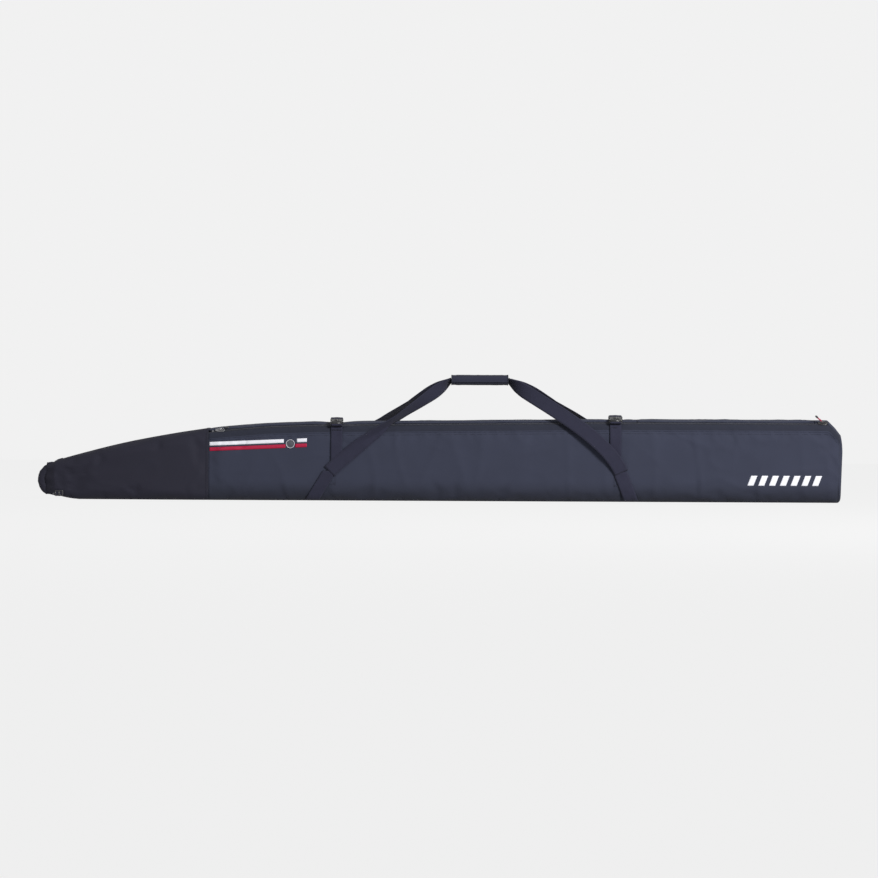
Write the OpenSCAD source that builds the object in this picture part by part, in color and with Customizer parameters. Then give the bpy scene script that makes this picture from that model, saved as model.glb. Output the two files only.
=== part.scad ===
// Padded ski bag, 2.1 m long, for two pairs of skis. Millimetres.
// +X runs from the nose to the tail, -Y is the front, +Z is up.
// The origin is the middle of the base, on the surface that the bag rests on.

/* [Body] */
// Height of the body at the tail
body_h = 215; // [208:1:225]
// Depth of the body, front to back
body_depth = 126; // [120:1:132]
// Half of the overall length
half_length = 1050; // [1045:1:1060]
// Radius of the long edges at the top
top_r = 28; // [26:1:30]
// Radius of the long edges at the base
base_r = 20; // [16:1:22]

/* [Nose] */
// Place of the seam between the nose and the body
nose_seam_x = -600; // [-602:1:-598]
// Height of the nose where its roll begins
nose_h = 101.5; // [98:0.5:106]
// Radius of the rolled end of the nose
roll_r = 11; // [9:0.5:12]

/* [Layers] */
// Thickness of the outer fabric
fabric_t = 1.2; // [1:0.1:1.4]
// Thickness of the foam in the body
foam_t = 6; // [4:0.5:6]
// Thickness of the lining
lining_t = 0.8; // [0.5:0.1:0.8]
// Thickness of the webbing
web_t = 1.6; // [1.2:0.1:1.6]

/* [Straps] */
// Width of the carrying straps
carry_w = 40; // [36:1:42]
// Width of the compression straps
strap_w = 30; // [25:1:32]
// Place of the left compression strap
left_strap_x = -266; // [-275:1:-260]
// Place of the right compression strap
right_strap_x = 458.5; // [450:0.5:460]

/* [Grip] */
// Length of the padded grip
grip_len = 146.6; // [130:0.2:150]
// Depth of the padded grip, front to back
grip_depth = 52; // [50:1:56]
// Height of the padded grip
grip_h = 27.5; // [26:0.5:28]
// Height of the grip's top above the floor
grip_top = 330; // [320:1:340]

/* [Zips] */
// Place of the tail slider when the bag is closed
tail_slider_x = 998; // [996:1:998]
// Place of the nose slider when the bag is closed
nose_slider_x = -569; // [-572:1:-566]
// Resting angle of the tail slider's pull
tail_pull_angle = 48; // [30:1:60]

/* [Hidden] */
$fn = 48;

half_depth = body_depth / 2;
gap = 0.05;                 // air between layers that are sewn or laid together
foam_in = fabric_t + gap;   // depth where the foam begins
foam_out = fabric_t + foam_t;
lining_in = foam_out + gap;
lining_out = lining_in + lining_t - gap;
nose_foam_out = fabric_t + 4;
nose_lining_out = nose_foam_out + gap + 0.7;

nose_end_x = -1000;         // where the nose skin ends and its roll begins
roll_bend = 52;             // radius that the middle of the roll is bent to
roll_centre = [-half_length + roll_bend + roll_r, 48];
roll_from = 132;            // angle of the roll's upper end, from +X
roll_sweep = 86;

flap_x0 = 515;              // the tail flap's ends
flap_x1 = 976;
yoke_x0 = 977;              // the fixed part of the top behind the flap
corner_x0 = 1012;           // where the top begins to fall towards the tail
tail_x = 1042;              // where the tail panel begins

s_zip_front = 2.477;        // section places of the zip slot's two edges
s_zip_top = 2.523;
s_tape_front = 2.25;
s_tape_top = 2.75;
s_teeth_front = 2.44;
s_teeth_top = 2.56;
s_flap_back = 4.98;         // where the flap is sewn to the back

black = "#1c1c20";
navy = "#404250";
nose_colour = "#32313c";
web_colour = "#3e3a4e";

// ---- Shape of the bag -------------------------------------------------

// Height of the top surface at x
function top_at(x) = x < nose_seam_x
    ? nose_h + (body_h - 10 - nose_h) * (1 - pow(1 - (x + 1000) / 660, 1.9))
    : lookup(x, [[nose_seam_x, top_at(nose_seam_x - 0.001)], [-450, body_h - 14.5],
        [-340, body_h - 10], [430, body_h], [corner_x0, body_h], [1031, body_h - 18.5],
        [1046.5, body_h - 38.5], [half_length, body_h - 61.4]]);

// Half of the depth at x
function side_at(x) = x >= nose_seam_x ? half_depth
    : half_depth - 29 * pow((nose_seam_x - x) / 360, 1.6);

// Height of the underside at x: the nose lifts off the floor near its end
function floor_at(x) = x >= -925 ? 0 : 11 * pow((-925 - x) / 75, 2);

function top_r_at(x) = min(top_r, 0.8 * side_at(x));
function base_r_at(x) = min(base_r, 0.6 * side_at(x));

// A point of the section at x. s runs round the section from the front of the
// base, a whole number at each end of a corner or a flat: 0 base front, 1 to 2
// front, 3 to 4 top, 5 to 6 back, 7 to 8 base. d is the depth below the surface.
function place(x, s, d) =
    let (b = side_at(x), h = top_at(x), f = floor_at(x), rt = top_r_at(x),
         rb = base_r_at(x), k = s - 8 * floor(s / 8), a = 90 * (k - floor(k)), u = k - floor(k))
    k < 1 ? [x, -(b - rb) - (rb - d) * sin(a), f + rb - (rb - d) * cos(a)]
    : k < 2 ? [x, -(b - d), f + rb + u * (h - rt - f - rb)]
    : k < 3 ? [x, -(b - rt) - (rt - d) * cos(a), h - rt + (rt - d) * sin(a)]
    : k < 4 ? [x, (2 * u - 1) * (b - rt), h - d]
    : k < 5 ? [x, b - rt + (rt - d) * sin(a), h - rt + (rt - d) * cos(a)]
    : k < 6 ? [x, b - d, h - rt - u * (h - rt - f - rb)]
    : k < 7 ? [x, b - rb + (rb - d) * cos(a), f + rb - (rb - d) * sin(a)]
    : [x, (1 - 2 * u) * (b - rb), f + d];

// Lengthwise places where the shape bends
x_bends = concat([for (x = [nose_end_x:40:-640]) x], [-620, nose_seam_x, -450, -340, 430, corner_x0, 1031]);
function corner_steps(s) = [for (k = [0:0.25:0.75]) s + k];
zip_steps = [2, s_tape_front, s_teeth_front, s_zip_front, s_zip_top, s_teeth_top, s_tape_top];
s_bends = concat(corner_steps(0), [1], zip_steps, [3], corner_steps(4), [5], corner_steps(6),
    [7], corner_steps(8), [9], [for (s = zip_steps) s + 8], [11]);
function between(list, a, b) =
    concat([a], [for (v = list) if (v > a + 0.001 && v < b - 0.001) v], [b]);

function lerp(a, b, t) = a + (b - a) * t;
function unit(v) = v / norm(v);
function smooth(t) = let (u = max(0, min(1, t))) u * u * (3 - 2 * u);

// ---- Helpers ----------------------------------------------------------

// A closed solid through a list of rings, each with the same number of points
module skin(rings) {
    n = len(rings[0]);
    m = len(rings);
    sides = [for (i = [0:m - 2], j = [0:n - 1])
        let (a = i * n + j, b = i * n + (j + 1) % n)
        each [[a, b, b + n], [a, b + n, a + n]]];
    last = (m - 1) * n;
    // the ends are strips between the two halves of their ring, as most rings are bent bands
    strips = [for (a = [0:ceil(n / 2) - 2])
        let (b = a + 1, c = n - 2 - a, d = n - 1 - a)
        each c > b ? [[a, b, c], [a, c, d]] : [[a, b, d]]];
    caps = [for (f = strips) each [[f[2], f[1], f[0]], [last + f[0], last + f[1], last + f[2]]]];
    polyhedron([for (r = rings) each r], concat(sides, caps), convexity = 8);
}

// A layer of the bag from x0 to x1, from section place s0 to s1, from depth d0 to d1
module layer(x0, x1, s0, s1, d0, d1) {
    ss = between(s_bends, s0, s1);
    n = len(ss);
    skin([for (x = between(x_bends, x0, x1))
        concat([for (s = ss) place(x, s, d0)], [for (i = [n - 1:-1:0]) place(x, ss[i], d1)])]);
}

// A ribbon laid on the bag from section place s0 at x0 to s1 at x1
module laid_ribbon(x0, x1, s0, s1, w, t) {
    skin([for (s = between(s_bends, s0, s1))
        let (x = lerp(x0, x1, (s - s0) / (s1 - s0)))
        [place(x - w / 2, s, -gap - t), place(x - w / 2, s, -gap),
         place(x + w / 2, s, -gap), place(x + w / 2, s, -gap - t)]]);
}

function bezier(p, t) = let (u = 1 - t)
    u * u * u * p[0] + 3 * u * u * t * p[1] + 3 * u * t * t * p[2] + t * t * t * p[3];
function bezier_dir(p, t) = let (u = 1 - t)
    unit(u * u * (p[1] - p[0]) + 2 * u * t * (p[2] - p[1]) + t * t * (p[3] - p[2]));

// A free strap along a curve. It leaves the grip lying flat and turns to face front or back.
module free_strap(p) {
    steps = 30;
    skin([for (i = [0:steps])
        let (t = i / steps, dir = bezier_dir(p, t),
             side = unit(cross(dir, [0, 1, 0])),
             flat = side.z > 0 ? -side : side,
             wide = unit(lerp([0, 1, 0], flat, smooth(t / 0.22))),
             w = unit(wide - smooth(t / 0.12) * (wide * dir) * dir) * carry_w / 2,
             n = cross(dir, unit(w)) * web_t / 2,
             c = bezier(p, t))
        concat([for (u = [-1:0.5:1]) c + u * w + n], [for (u = [1:-0.5:-1]) c + u * w - n])]);
}

module rounded_rect(w, h, r) {
    square([w - 2 * r, h], center = true);
    square([w, h - 2 * r], center = true);
    for (i = [-1, 1], j = [-1, 1]) translate([i * (w / 2 - r), j * (h / 2 - r)]) circle(r);
}

// A flat plate that stands in the XZ plane, its back at y
module front_plate(y, t) {
    translate([0, y, 0]) rotate([90, 0, 0]) linear_extrude(t) children();
}

// ---- Shell ------------------------------------------------------------

module front_panel() {
    color(navy) layer(nose_seam_x, tail_x, 0, 2, 0, fabric_t);
}

module back_panel() {
    color(navy) layer(nose_seam_x, tail_x, 5, 7, 0, fabric_t);
}

module base_panel() {
    color(navy) translate([nose_seam_x, -(half_depth - base_r), 0])
        cube([tail_x - nose_seam_x, body_depth - 2 * base_r, fabric_t]);
}

module top_panel() {
    color(navy) layer(nose_seam_x, flap_x0 - 1, s_zip_top, 5, 0, fabric_t);
}

module zip_band() {
    color("#2e3040") layer(nose_seam_x, corner_x0, 2, s_zip_front, 0, fabric_t);
}

module tail_flap() {
    color(navy) layer(flap_x0, flap_x1, s_zip_top, s_flap_back, 0, fabric_t);
}

module tail_corner() {
    color(navy) layer(corner_x0, tail_x, 2.002, 4.995, 0, fabric_t);
}

// The fixed part of the top behind the flap, where the zip ends
module tail_yoke() {
    color(navy) layer(yoke_x0, corner_x0 - gap, s_zip_top, 4.995, 0, fabric_t);
}

module tail_panel() {
    ss = [for (s = s_bends) if (s < 8) s];
    color(navy) skin([for (ring = [[tail_x, 0], [tail_x + 4.5, 1.2], [half_length, 8]])
        [for (s = ss) place(ring[0], s, ring[1])]]);
}

module nose_front_panel() {
    color(nose_colour) layer(nose_end_x, nose_seam_x, 0, 2, 0, fabric_t);
}

module nose_top_panel() {
    color(nose_colour) layer(nose_end_x, nose_seam_x, 2.002, 4.998, 0, fabric_t);
}

module nose_back_panel() {
    color(nose_colour) layer(nose_end_x, nose_seam_x, 5, 7, 0, fabric_t);
}

module nose_base_panel() {
    color(nose_colour) layer(nose_end_x, nose_seam_x, 7, 8, 0, fabric_t);
}

// Half of the nose's depth at height z, at its end
function end_half(z) =
    let (x = nose_end_x, b = side_at(x), f = floor_at(x), h = top_at(x),
         rt = top_r_at(x), rb = base_r_at(x))
    z < f + rb ? b - rb + sqrt(rb * rb - pow(f + rb - z, 2))
    : z > h - rt ? b - rt + sqrt(rt * rt - pow(z - h + rt, 2)) : b;

// The nose's end: a panel that closes it, then the folds that run into the roll
module nose_gather() {
    ss = [for (s = s_bends) if (s < 8) s];
    inner = roll_bend - roll_r;
    fold_half = 8;
    color(nose_colour) union() {
        skin([for (x = [nose_end_x - fabric_t, nose_end_x])
            [for (s = ss) [x, place(nose_end_x, s, 0).y, place(nose_end_x, s, 0).z]]]);
        skin([for (z = [15:7:85])
            let (xi = roll_centre.x - sqrt(inner * inner - pow(z - roll_centre.y, 2)),
                 xe = min(xi, nose_end_x - 2), b = end_half(z) - 1)
            [[nose_end_x - fabric_t, -b, z], [xe, -fold_half, z], [xe, fold_half, z],
             [nose_end_x - fabric_t, b, z]]]);
    }
}

module nose_roll() {
    color(nose_colour) translate([roll_centre.x, 0, roll_centre.y]) rotate([90, 0, 0])
        rotate([0, 0, roll_from]) rotate_extrude(angle = roll_sweep)
            translate([roll_bend, 0]) circle(roll_r);
}

// Webbing tabs that hold the two ends of the roll
module roll_tabs() {
    tab_w = 16;
    color(black) translate([0, tab_w / 2, 0]) rotate([90, 0, 0]) linear_extrude(tab_w) {
        polygon([[-1030, 95.8], [-1028, 97.6], [-1001, 104.4], [-985, 108.6], [-985, 106.4],
            [-1002, 102.2]]);
        polygon([[-1033, 10], [-1031.6, 8.2], [-1004, 6], [-1004, 8], [-1028, 9.6]]);
    }
}

// The ladder lock that the nose's roll strap is drawn through
module nose_buckle() {
    lock_w = 22;
    lock_h = 15;
    color(black) translate([-990, 0, 15.5]) front_plate(-side_at(-978) - 0.4, 3.2)
        difference() {
            rounded_rect(lock_w, lock_h, 2.5);
            for (x = [-5, 5]) translate([x, 0]) square([4.5, 10], center = true);
        }
}

// ---- Padding and lining -----------------------------------------------

module front_foam() {
    color("#c9c9cf") layer(nose_seam_x, tail_x, 0, s_tape_front, foam_in, foam_out);
}

module back_foam() {
    color("#c9c9cf") layer(nose_seam_x, tail_x, 5, 7, foam_in, foam_out);
}

module base_foam() {
    color("#c9c9cf") layer(nose_seam_x, tail_x, 7, 8, foam_in, foam_out);
}

module top_foam() {
    color("#c9c9cf") layer(nose_seam_x, flap_x0 - 1, s_tape_top + 0.004, 5, foam_in, foam_out);
}

module flap_foam() {
    color("#c9c9cf") layer(flap_x0 + 1, flap_x1 - 1, s_tape_top + 0.004, 4.75, foam_in, foam_out);
}

module nose_foam() {
    color("#c9c9cf") layer(-960, nose_seam_x, 0, 7, foam_in, nose_foam_out);
}

module body_lining() {
    color("#25252b") layer(nose_seam_x, tail_x, 5.02, 10.25, lining_in, lining_out);
}

module top_lining() {
    color("#25252b") layer(nose_seam_x, flap_x0 - 1, s_tape_top, 5, lining_in, lining_out);
}

module flap_lining() {
    color("#25252b") layer(flap_x0 + 1, flap_x1 - 1, s_tape_top, 4.9, lining_in, lining_out);
}

module nose_lining() {
    color("#25252b")
        layer(-960, nose_seam_x, 0, 7, nose_foam_out + gap, nose_lining_out);
}

// ---- Zips -------------------------------------------------------------

tape_out = foam_in + 0.8;
teeth_in = tape_out + gap;
teeth_out = teeth_in + 1.2;
zip_x0 = nose_seam_x + 4;

module zip_tapes() {
    color(black) {
        layer(zip_x0, corner_x0 - 2, s_tape_front, s_zip_front, foam_in, tape_out);
        layer(zip_x0, flap_x0 - 1, s_zip_top, s_tape_top, foam_in, tape_out);
        layer(yoke_x0, corner_x0 - 2, s_zip_top, s_tape_top, foam_in, tape_out);
    }
}

module flap_zip_tape() {
    color(black) layer(flap_x0, flap_x1, s_zip_top, s_tape_top, foam_in, tape_out);
}

module zip_teeth() {
    color("#2a2a30") {
        layer(zip_x0 + 4, corner_x0 - 4, s_teeth_front, s_zip_front, teeth_in, teeth_out);
        layer(zip_x0 + 4, flap_x0 - 1, s_zip_top, s_teeth_top, teeth_in, teeth_out);
        layer(yoke_x0, corner_x0 - 4, s_zip_top, s_teeth_top, teeth_in, teeth_out);
    }
}

module flap_zip_teeth() {
    color("#2a2a30") layer(flap_x0, flap_x1, s_zip_top, s_teeth_top, teeth_in, teeth_out);
}

// Where the zip runs at x: the middle of the slot on the bag's surface
function zip_point(x) = place(x, 2.5, 0);
nose_slope = (top_at(-450) - top_at(nose_seam_x)) / (-450 - nose_seam_x);
nose_tilt = atan(nose_slope * sqrt(0.5));

// Puts its children on the zip: X along it, Y across it, Z outwards
module on_tail_zip(x) {
    translate(zip_point(x)) rotate([45, 0, 0]) children();
}

module on_nose_zip(x) {
    translate(zip_point(x)) rotate([45, 0, 0]) rotate([0, -nose_tilt, nose_tilt]) children();
}

plate_t = 1.6;
plate_z = 0.4;              // underside of the slider's upper plate
lower_z = -(teeth_out + 0.5);
bail_z = 5.4;
pull_z = 3.4;               // height of the pull's pivot above the zip line

// A zip slider: two plates joined by a thin core, with a bail for its pull
module slider() {
    outline = [[-12.5, -4], [-9, -5], [2, -6], [9, -6], [12.5, -4],
        [12.5, 4], [9, 6], [2, 6], [-9, 5], [-12.5, 4]];
    core_half = 0.65;
    translate([0, 0, plate_z]) linear_extrude(plate_t) polygon(outline);
    translate([0, 0, lower_z - plate_t]) linear_extrude(plate_t) polygon(outline);
    translate([-4, -core_half, lower_z]) cube([12, 2 * core_half, plate_z - lower_z]);
    for (x = [-4.8, 3.6]) translate([x, -1.2, plate_z + plate_t])
        cube([1.2, 2.4, bail_z - plate_z - plate_t]);
    translate([-4.8, -1.2, bail_z - 1]) cube([9.6, 2.4, 1]);
}

// A pull that points along -X: a wire link, a cord and a moulded tip
module pull(cord_len) {
    link_w = 4.4;
    rotate([90, 0, 0]) cylinder(h = 2 * link_w, r = 0.8, center = true);
    for (y = [-link_w, link_w - 1.4]) translate([-8, y, -0.7]) cube([8, 1.4, 1.4]);
    translate([-9.4, -link_w, -0.7]) cube([1.4, 2 * link_w, 1.4]);
    translate([-9.4, 0, 0]) rotate([0, -90, 0]) cylinder(h = cord_len, r = 1.6);
    translate([-9.4 - cord_len, 0, 0]) rotate([0, -90, 0]) cylinder(h = 9, r = 2.6);
}

module tail_slider() {
    color(black) on_tail_zip(tail_slider_x) slider();
}

module tail_pull() {
    color("crimson") on_tail_zip(tail_slider_x) translate([0, 0, pull_z])
        rotate([0, tail_pull_angle, 0]) pull(14);
}

module nose_slider() {
    color("silver") on_nose_zip(nose_slider_x) slider();
}

module nose_pull() {
    color(black) on_nose_zip(nose_slider_x) translate([0, 0, pull_z])
        rotate([0, 0, 180]) rotate([0, 12, 0]) pull(6);
}

// Crimped stops at both ends of the zip, inside the tapes
module zip_stops() {
    color("silver") {
        on_nose_zip(zip_x0 + 8) translate([-2.5, -2.8, -teeth_out - 0.3 - plate_t])
            cube([5, 5.6, plate_t]);
        on_tail_zip(496) translate([-26, -2.8, -teeth_out - 0.3 - plate_t])
            cube([5, 5.6, plate_t]);
    }
}

// ---- Trim -------------------------------------------------------------

stripe_w = 9.6;
stripe_x0 = -596;
stripe_x1 = -343;
function stripe_z(x, z0, z1) = lerp(z0, z1, (x - stripe_x0) / (stripe_x1 - stripe_x0));

module stripe(x0, x1, z0, z1) {
    front_plate(-half_depth - gap, 0.3) polygon([
        [x0, stripe_z(x0, z0, z1) - stripe_w / 2], [x1, stripe_z(x1, z0, z1) - stripe_w / 2],
        [x1, stripe_z(x1, z0, z1) + stripe_w / 2], [x0, stripe_z(x0, z0, z1) + stripe_w / 2]]);
}

badge_x = -386;
badge_z = 147;
badge_r = 12;

module white_stripes() {
    color("white") {
        stripe(stripe_x0, badge_x - badge_r - 5, 146, 157);
        stripe(badge_x + badge_r + 5, stripe_x1, 146, 157);
    }
}

module red_stripe() {
    color("crimson") difference() {
        stripe(stripe_x0, stripe_x1, 132, 143.5);
        front_plate(-half_depth + 1, 3) translate([badge_x, badge_z]) circle(badge_r + 1.5);
    }
}

module badge() {
    color("#2b2b33") translate([badge_x, 0, badge_z]) front_plate(-half_depth - gap, 1.2)
        circle(badge_r);
}

// A row of plain slanted bars
module tail_print() {
    bars = 7;
    pitch = 28;
    color("white") front_plate(-half_depth - gap, 0.3) for (i = [0:bars - 1])
        translate([801 + i * pitch, 44]) polygon([[0, 0], [16, 0], [26, 26], [10, 26]]);
}

// Bindings over the long seams and over the seam of the nose
module seam_bindings() {
    reach = strap_w / 2 + 0.5;  // they stop beside the compression straps
    spans = [[nose_seam_x + 6, left_strap_x - reach], [left_strap_x + reach, right_strap_x - reach],
        [right_strap_x + reach, tail_x]];
    color("#262733") {
        for (x = spans) {
            layer(x[0], x[1], 1.955, 2, -0.85, -gap);
            layer(x[0], x[1], 5.03, 5.06, -0.85, -gap);
        }
        layer(nose_seam_x - 20, nose_seam_x + 3.5, 0.6, 6.4, -0.85, -gap);
    }
}

// ---- Straps -----------------------------------------------------------

// The carrying straps' sewn ends. They run down the front and back into the base seams.
s_web_low = 0.3;
function s_front(x, z) = 1 + (z - base_r) / (top_at(x) - top_r - base_r);

module front_webbing() {
    color(web_colour) {
        laid_ribbon(-330, -283, s_web_low, s_front(-283, 73), carry_w, web_t);
        laid_ribbon(501, 470, s_web_low, s_front(470, 73), carry_w, web_t);
    }
}

module back_webbing() {
    color(web_colour) {
        laid_ribbon(-298, -345, 7 - s_front(-283, 73), 7 - s_web_low, carry_w, web_t);
        laid_ribbon(490, 521, 7 - s_front(470, 73), 7 - s_web_low, carry_w, web_t);
    }
}

// A compression strap's two sewn parts, and the part that crosses the top
module sewn_strap(x, z) {
    color(web_colour) {
        laid_ribbon(x, x, s_front(x, z), 2.62, strap_w, web_t);
        laid_ribbon(x, x, 5.1, 5.6, strap_w, web_t);
    }
}

module top_strap(x) {
    color(web_colour) laid_ribbon(x, x, 2.72, 5.05, strap_w, web_t);
}

module left_strap() { sewn_strap(left_strap_x, 95); }
module left_top_strap() { top_strap(left_strap_x); }
module right_strap() { sewn_strap(right_strap_x, 105); }
module right_top_strap() { top_strap(right_strap_x); }

// A side-release buckle lies over the bag's top front edge, tilted forwards
buckle_tilt = 20;
buckle_t = 8;
module at_buckle(x) {
    translate([x, -54, top_at(x) + 1.3]) rotate([buckle_tilt, 0, 0]) children();
}

// The socket, with a hollow for the clip's prongs and a slot for its strap
module socket(w) {
    color(black) difference() {
        translate([0, -9, -buckle_t / 2]) linear_extrude(buckle_t) rounded_rect(w, 22, 4);
        translate([-(w - 8) / 2, -11, -2.6]) cube([w - 8, 20, 5.2]);
        translate([-(w - 8) / 2, -17, -buckle_t]) cube([w - 8, 3, 2 * buckle_t]);
    }
}

// The clip, with two prongs that enter the socket
module clip(w) {
    prong_x = w / 2 - 9;
    color(black) difference() {
        union() {
            translate([0, 11.2, -buckle_t / 2]) linear_extrude(buckle_t) rounded_rect(w, 17.6, 4);
            for (x = [-prong_x, prong_x]) translate([x - 3, -9, -2]) cube([6, 15, 4]);
        }
        translate([-(w - 8) / 2, 14, -buckle_t]) cube([w - 8, 3, 2 * buckle_t]);
    }
}

module left_socket() { at_buckle(left_strap_x) socket(34); }
module left_clip() { at_buckle(left_strap_x) clip(34); }
module right_socket() { at_buckle(right_strap_x) socket(37); }
module right_clip() { at_buckle(right_strap_x) clip(37); }

// ---- Carrying straps and grip -----------------------------------------

grip_x0 = 32.7;
grip_x1 = grip_x0 + grip_len;
grip_z = grip_top - grip_h / 2;
web_z = 1.05;               // from the grip's middle to each of its two straps
strap_y = half_depth + 3.6; // where the free straps hang, in front of the bag
front_left_route = [[grip_x0 - 1, -3, grip_z - web_z], [-55, -84, grip_z - 58],
    [-195, -strap_y - 2, 160], [-284, -strap_y, 76]];
front_right_route = [[grip_x1 + 1, -3, grip_z - web_z], [275, -84, grip_z - 56],
    [432, -strap_y - 2, 166], [474, -strap_y, 76]];
back_left_route = [[grip_x0 - 1, 3, grip_z + web_z], [-75, 84, grip_z - 50],
    [-235, strap_y + 2, 165], [-299, strap_y, 76]];
back_right_route = [[grip_x1 + 1, 3, grip_z + web_z], [305, 84, grip_z - 50],
    [486, strap_y + 2, 172], [494, strap_y, 76]];

module front_left_carry() { color(web_colour) free_strap(front_left_route); }
module front_right_carry() { color(web_colour) free_strap(front_right_route); }
module back_left_carry() { color(web_colour) free_strap(back_left_route); }
module back_right_carry() { color(web_colour) free_strap(back_right_route); }

grip_split = 0.6;           // thickness of the hook strip and of the loop strip
channel_h = 4.2;            // height of the space for the webbing inside the grip

// The two straps inside the grip, one on the other
module grip_webbing() {
    color(web_colour) for (z = [-web_z, web_z])
        translate([grip_x0, -carry_w / 2, grip_z + z - web_t / 2])
            cube([grip_len, carry_w, web_t]);
}

// The grip's section, with a channel through it for the straps
module grip_section() {
    difference() {
        rounded_rect(grip_depth, grip_h, 11);
        square([carry_w + 1, channel_h], center = true);
    }
}

module grip_half(side) {
    color(black) translate([grip_x0, 0, grip_z]) rotate([90, 0, 90]) linear_extrude(grip_len)
        intersection() {
            grip_section();
            translate([-grip_depth, side > 0 ? grip_split : -grip_h])
                square([2 * grip_depth, grip_h - grip_split]);
        }
}

module grip_base() { grip_half(-1); }
module grip_flap() { grip_half(1); }

module grip_strip(z) {
    color("#303036") translate([grip_x0 + 6, -grip_depth / 2, grip_z + z])
        cube([grip_len - 12, 5, grip_split - gap]);
}

module hook_strip() { grip_strip(-grip_split + gap); }
module loop_strip() { grip_strip(gap); }

// ---- Assembly ---------------------------------------------------------

front_panel();
back_panel();
base_panel();
top_panel();
zip_band();
tail_flap();
tail_corner();
tail_yoke();
tail_panel();
nose_front_panel();
nose_top_panel();
nose_back_panel();
nose_base_panel();
nose_gather();
nose_roll();
roll_tabs();
nose_buckle();
front_foam();
back_foam();
base_foam();
top_foam();
flap_foam();
nose_foam();
body_lining();
top_lining();
flap_lining();
nose_lining();
zip_tapes();
flap_zip_tape();
zip_teeth();
flap_zip_teeth();
zip_stops();
nose_slider();
nose_pull();
tail_slider();
tail_pull();
white_stripes();
red_stripe();
badge();
tail_print();
seam_bindings();
front_webbing();
back_webbing();
left_strap();
left_top_strap();
left_socket();
left_clip();
right_strap();
right_top_strap();
right_socket();
right_clip();
front_left_carry();
front_right_carry();
back_left_carry();
back_right_carry();
grip_webbing();
grip_base();
grip_flap();
hook_strip();
loop_strip();
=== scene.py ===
from math import atan2, ceil, copysign, cos, exp, floor, pi, radians, sin

import bmesh
import bpy
from mathutils import Matrix, Vector, noise
from mathutils.bvhtree import BVHTree


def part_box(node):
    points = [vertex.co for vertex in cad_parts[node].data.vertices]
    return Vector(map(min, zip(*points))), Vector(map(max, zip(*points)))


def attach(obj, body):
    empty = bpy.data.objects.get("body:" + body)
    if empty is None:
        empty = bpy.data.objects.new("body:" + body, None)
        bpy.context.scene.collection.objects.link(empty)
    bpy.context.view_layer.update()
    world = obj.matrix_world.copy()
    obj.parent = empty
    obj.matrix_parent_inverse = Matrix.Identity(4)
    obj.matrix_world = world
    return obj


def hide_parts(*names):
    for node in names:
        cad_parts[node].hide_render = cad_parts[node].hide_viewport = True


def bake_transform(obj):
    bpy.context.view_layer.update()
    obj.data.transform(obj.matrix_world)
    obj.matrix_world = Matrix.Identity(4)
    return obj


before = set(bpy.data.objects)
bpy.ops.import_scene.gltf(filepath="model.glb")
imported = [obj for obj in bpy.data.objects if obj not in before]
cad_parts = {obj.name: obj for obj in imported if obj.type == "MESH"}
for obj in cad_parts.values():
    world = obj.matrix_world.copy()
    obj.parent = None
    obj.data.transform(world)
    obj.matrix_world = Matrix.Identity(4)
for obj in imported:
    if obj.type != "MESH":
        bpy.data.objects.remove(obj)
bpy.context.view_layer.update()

MM = 0.001
X_AXIS, Y_AXIS, Z_AXIS = Vector((1, 0, 0)), Vector((0, 1, 0)), Vector((0, 0, 1))


def mm(x, y, z):
    """A point given in millimetres."""
    return Vector((x * MM, y * MM, z * MM))


def circle(n):
    return [2 * pi * i / n for i in range(n)]


def wobble(x, y, z):
    """Smooth fixed noise from -1 to 1."""
    return noise.noise(Vector((x, y, z)))


# ---- Driving dimensions, from the frame ---------------------------------

front_lo, front_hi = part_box("front_panel")
nose_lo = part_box("nose_front_panel")[0]
flap_lo, flap_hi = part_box("tail_flap")
grip_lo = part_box("grip_base")[0]
grip_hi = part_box("grip_flap")[1]
roll_lo, roll_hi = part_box("nose_roll")

HALF = -front_lo.y                  # half of the body's depth
BODY_H = flap_hi.z                  # height of the body at the tail
SEAM_X = front_lo.x                 # seam between the nose and the body
NOSE_X = nose_lo.x                  # where the nose skin ends
TAIL_X = front_hi.x                 # where the tail end begins
END_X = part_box("tail_panel")[1].x
CORNER_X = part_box("tail_corner")[0].x
YOKE_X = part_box("tail_yoke")[0].x
FLAP_X0, FLAP_X1 = flap_lo.x, flap_hi.x
TOP_X1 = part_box("top_panel")[1].x
NOSE_END_X = -1.0                   # where the nose's top line ends, at the roll
NOSE_END_H = 101.5 * MM
NOSE_RISE = 0.66                    # length over which that line rises to the body
NOSE_LIFT_X = -0.925                # in front of this the nose's base leaves the floor
TOP_R = 28 * MM
BASE_R = 20 * MM
PAD = 8 * MM                        # outer fabric, foam and lining together
NOSE_PAD = 6 * MM
WEB_T = 1.6 * MM
CARRY_W = 37 * MM
SEWN_TOP_Z = 78 * MM                # where the carrying straps leave the bag
STRAP_W = 30 * MM
LEFT_X = -266 * MM                  # the two compression straps
RIGHT_X = 458.5 * MM
TAIL_SLIDER_X = 998 * MM
NOSE_SLIDER_X = -569 * MM
FOOT_SET_BACK = 5.4 * MM            # how far the tail end's foot leans in
STRAP_DRAW = 3.6 * MM               # how far the left compression strap draws the shell in
HINGE_Y, HINGE_Z = 63 * MM, 187.5 * MM
TAIL_PULL_TILT = radians(48)
NOSE_PULL_TILT = radians(12)

# Places round the section, which place() explains. The back's place is 7 less the front's.
AROUND = 8                          # places once round
ZIP_S = 2.5
ZIP_EDGE = 0.085                    # half of the zip's window
TAPE_IN, TAPE_OUT = 0.013, 0.16     # the tapes' edges, from the zip's middle
TAPE_SEW = 0.07
BAND_S = 1.98                       # seam under the zip band
BACK_SEAM_S = 5.0


# ---- Shape of the bag, as the frame has it -------------------------------

def lerp(a, b, t):
    return a + (b - a) * t


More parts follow.
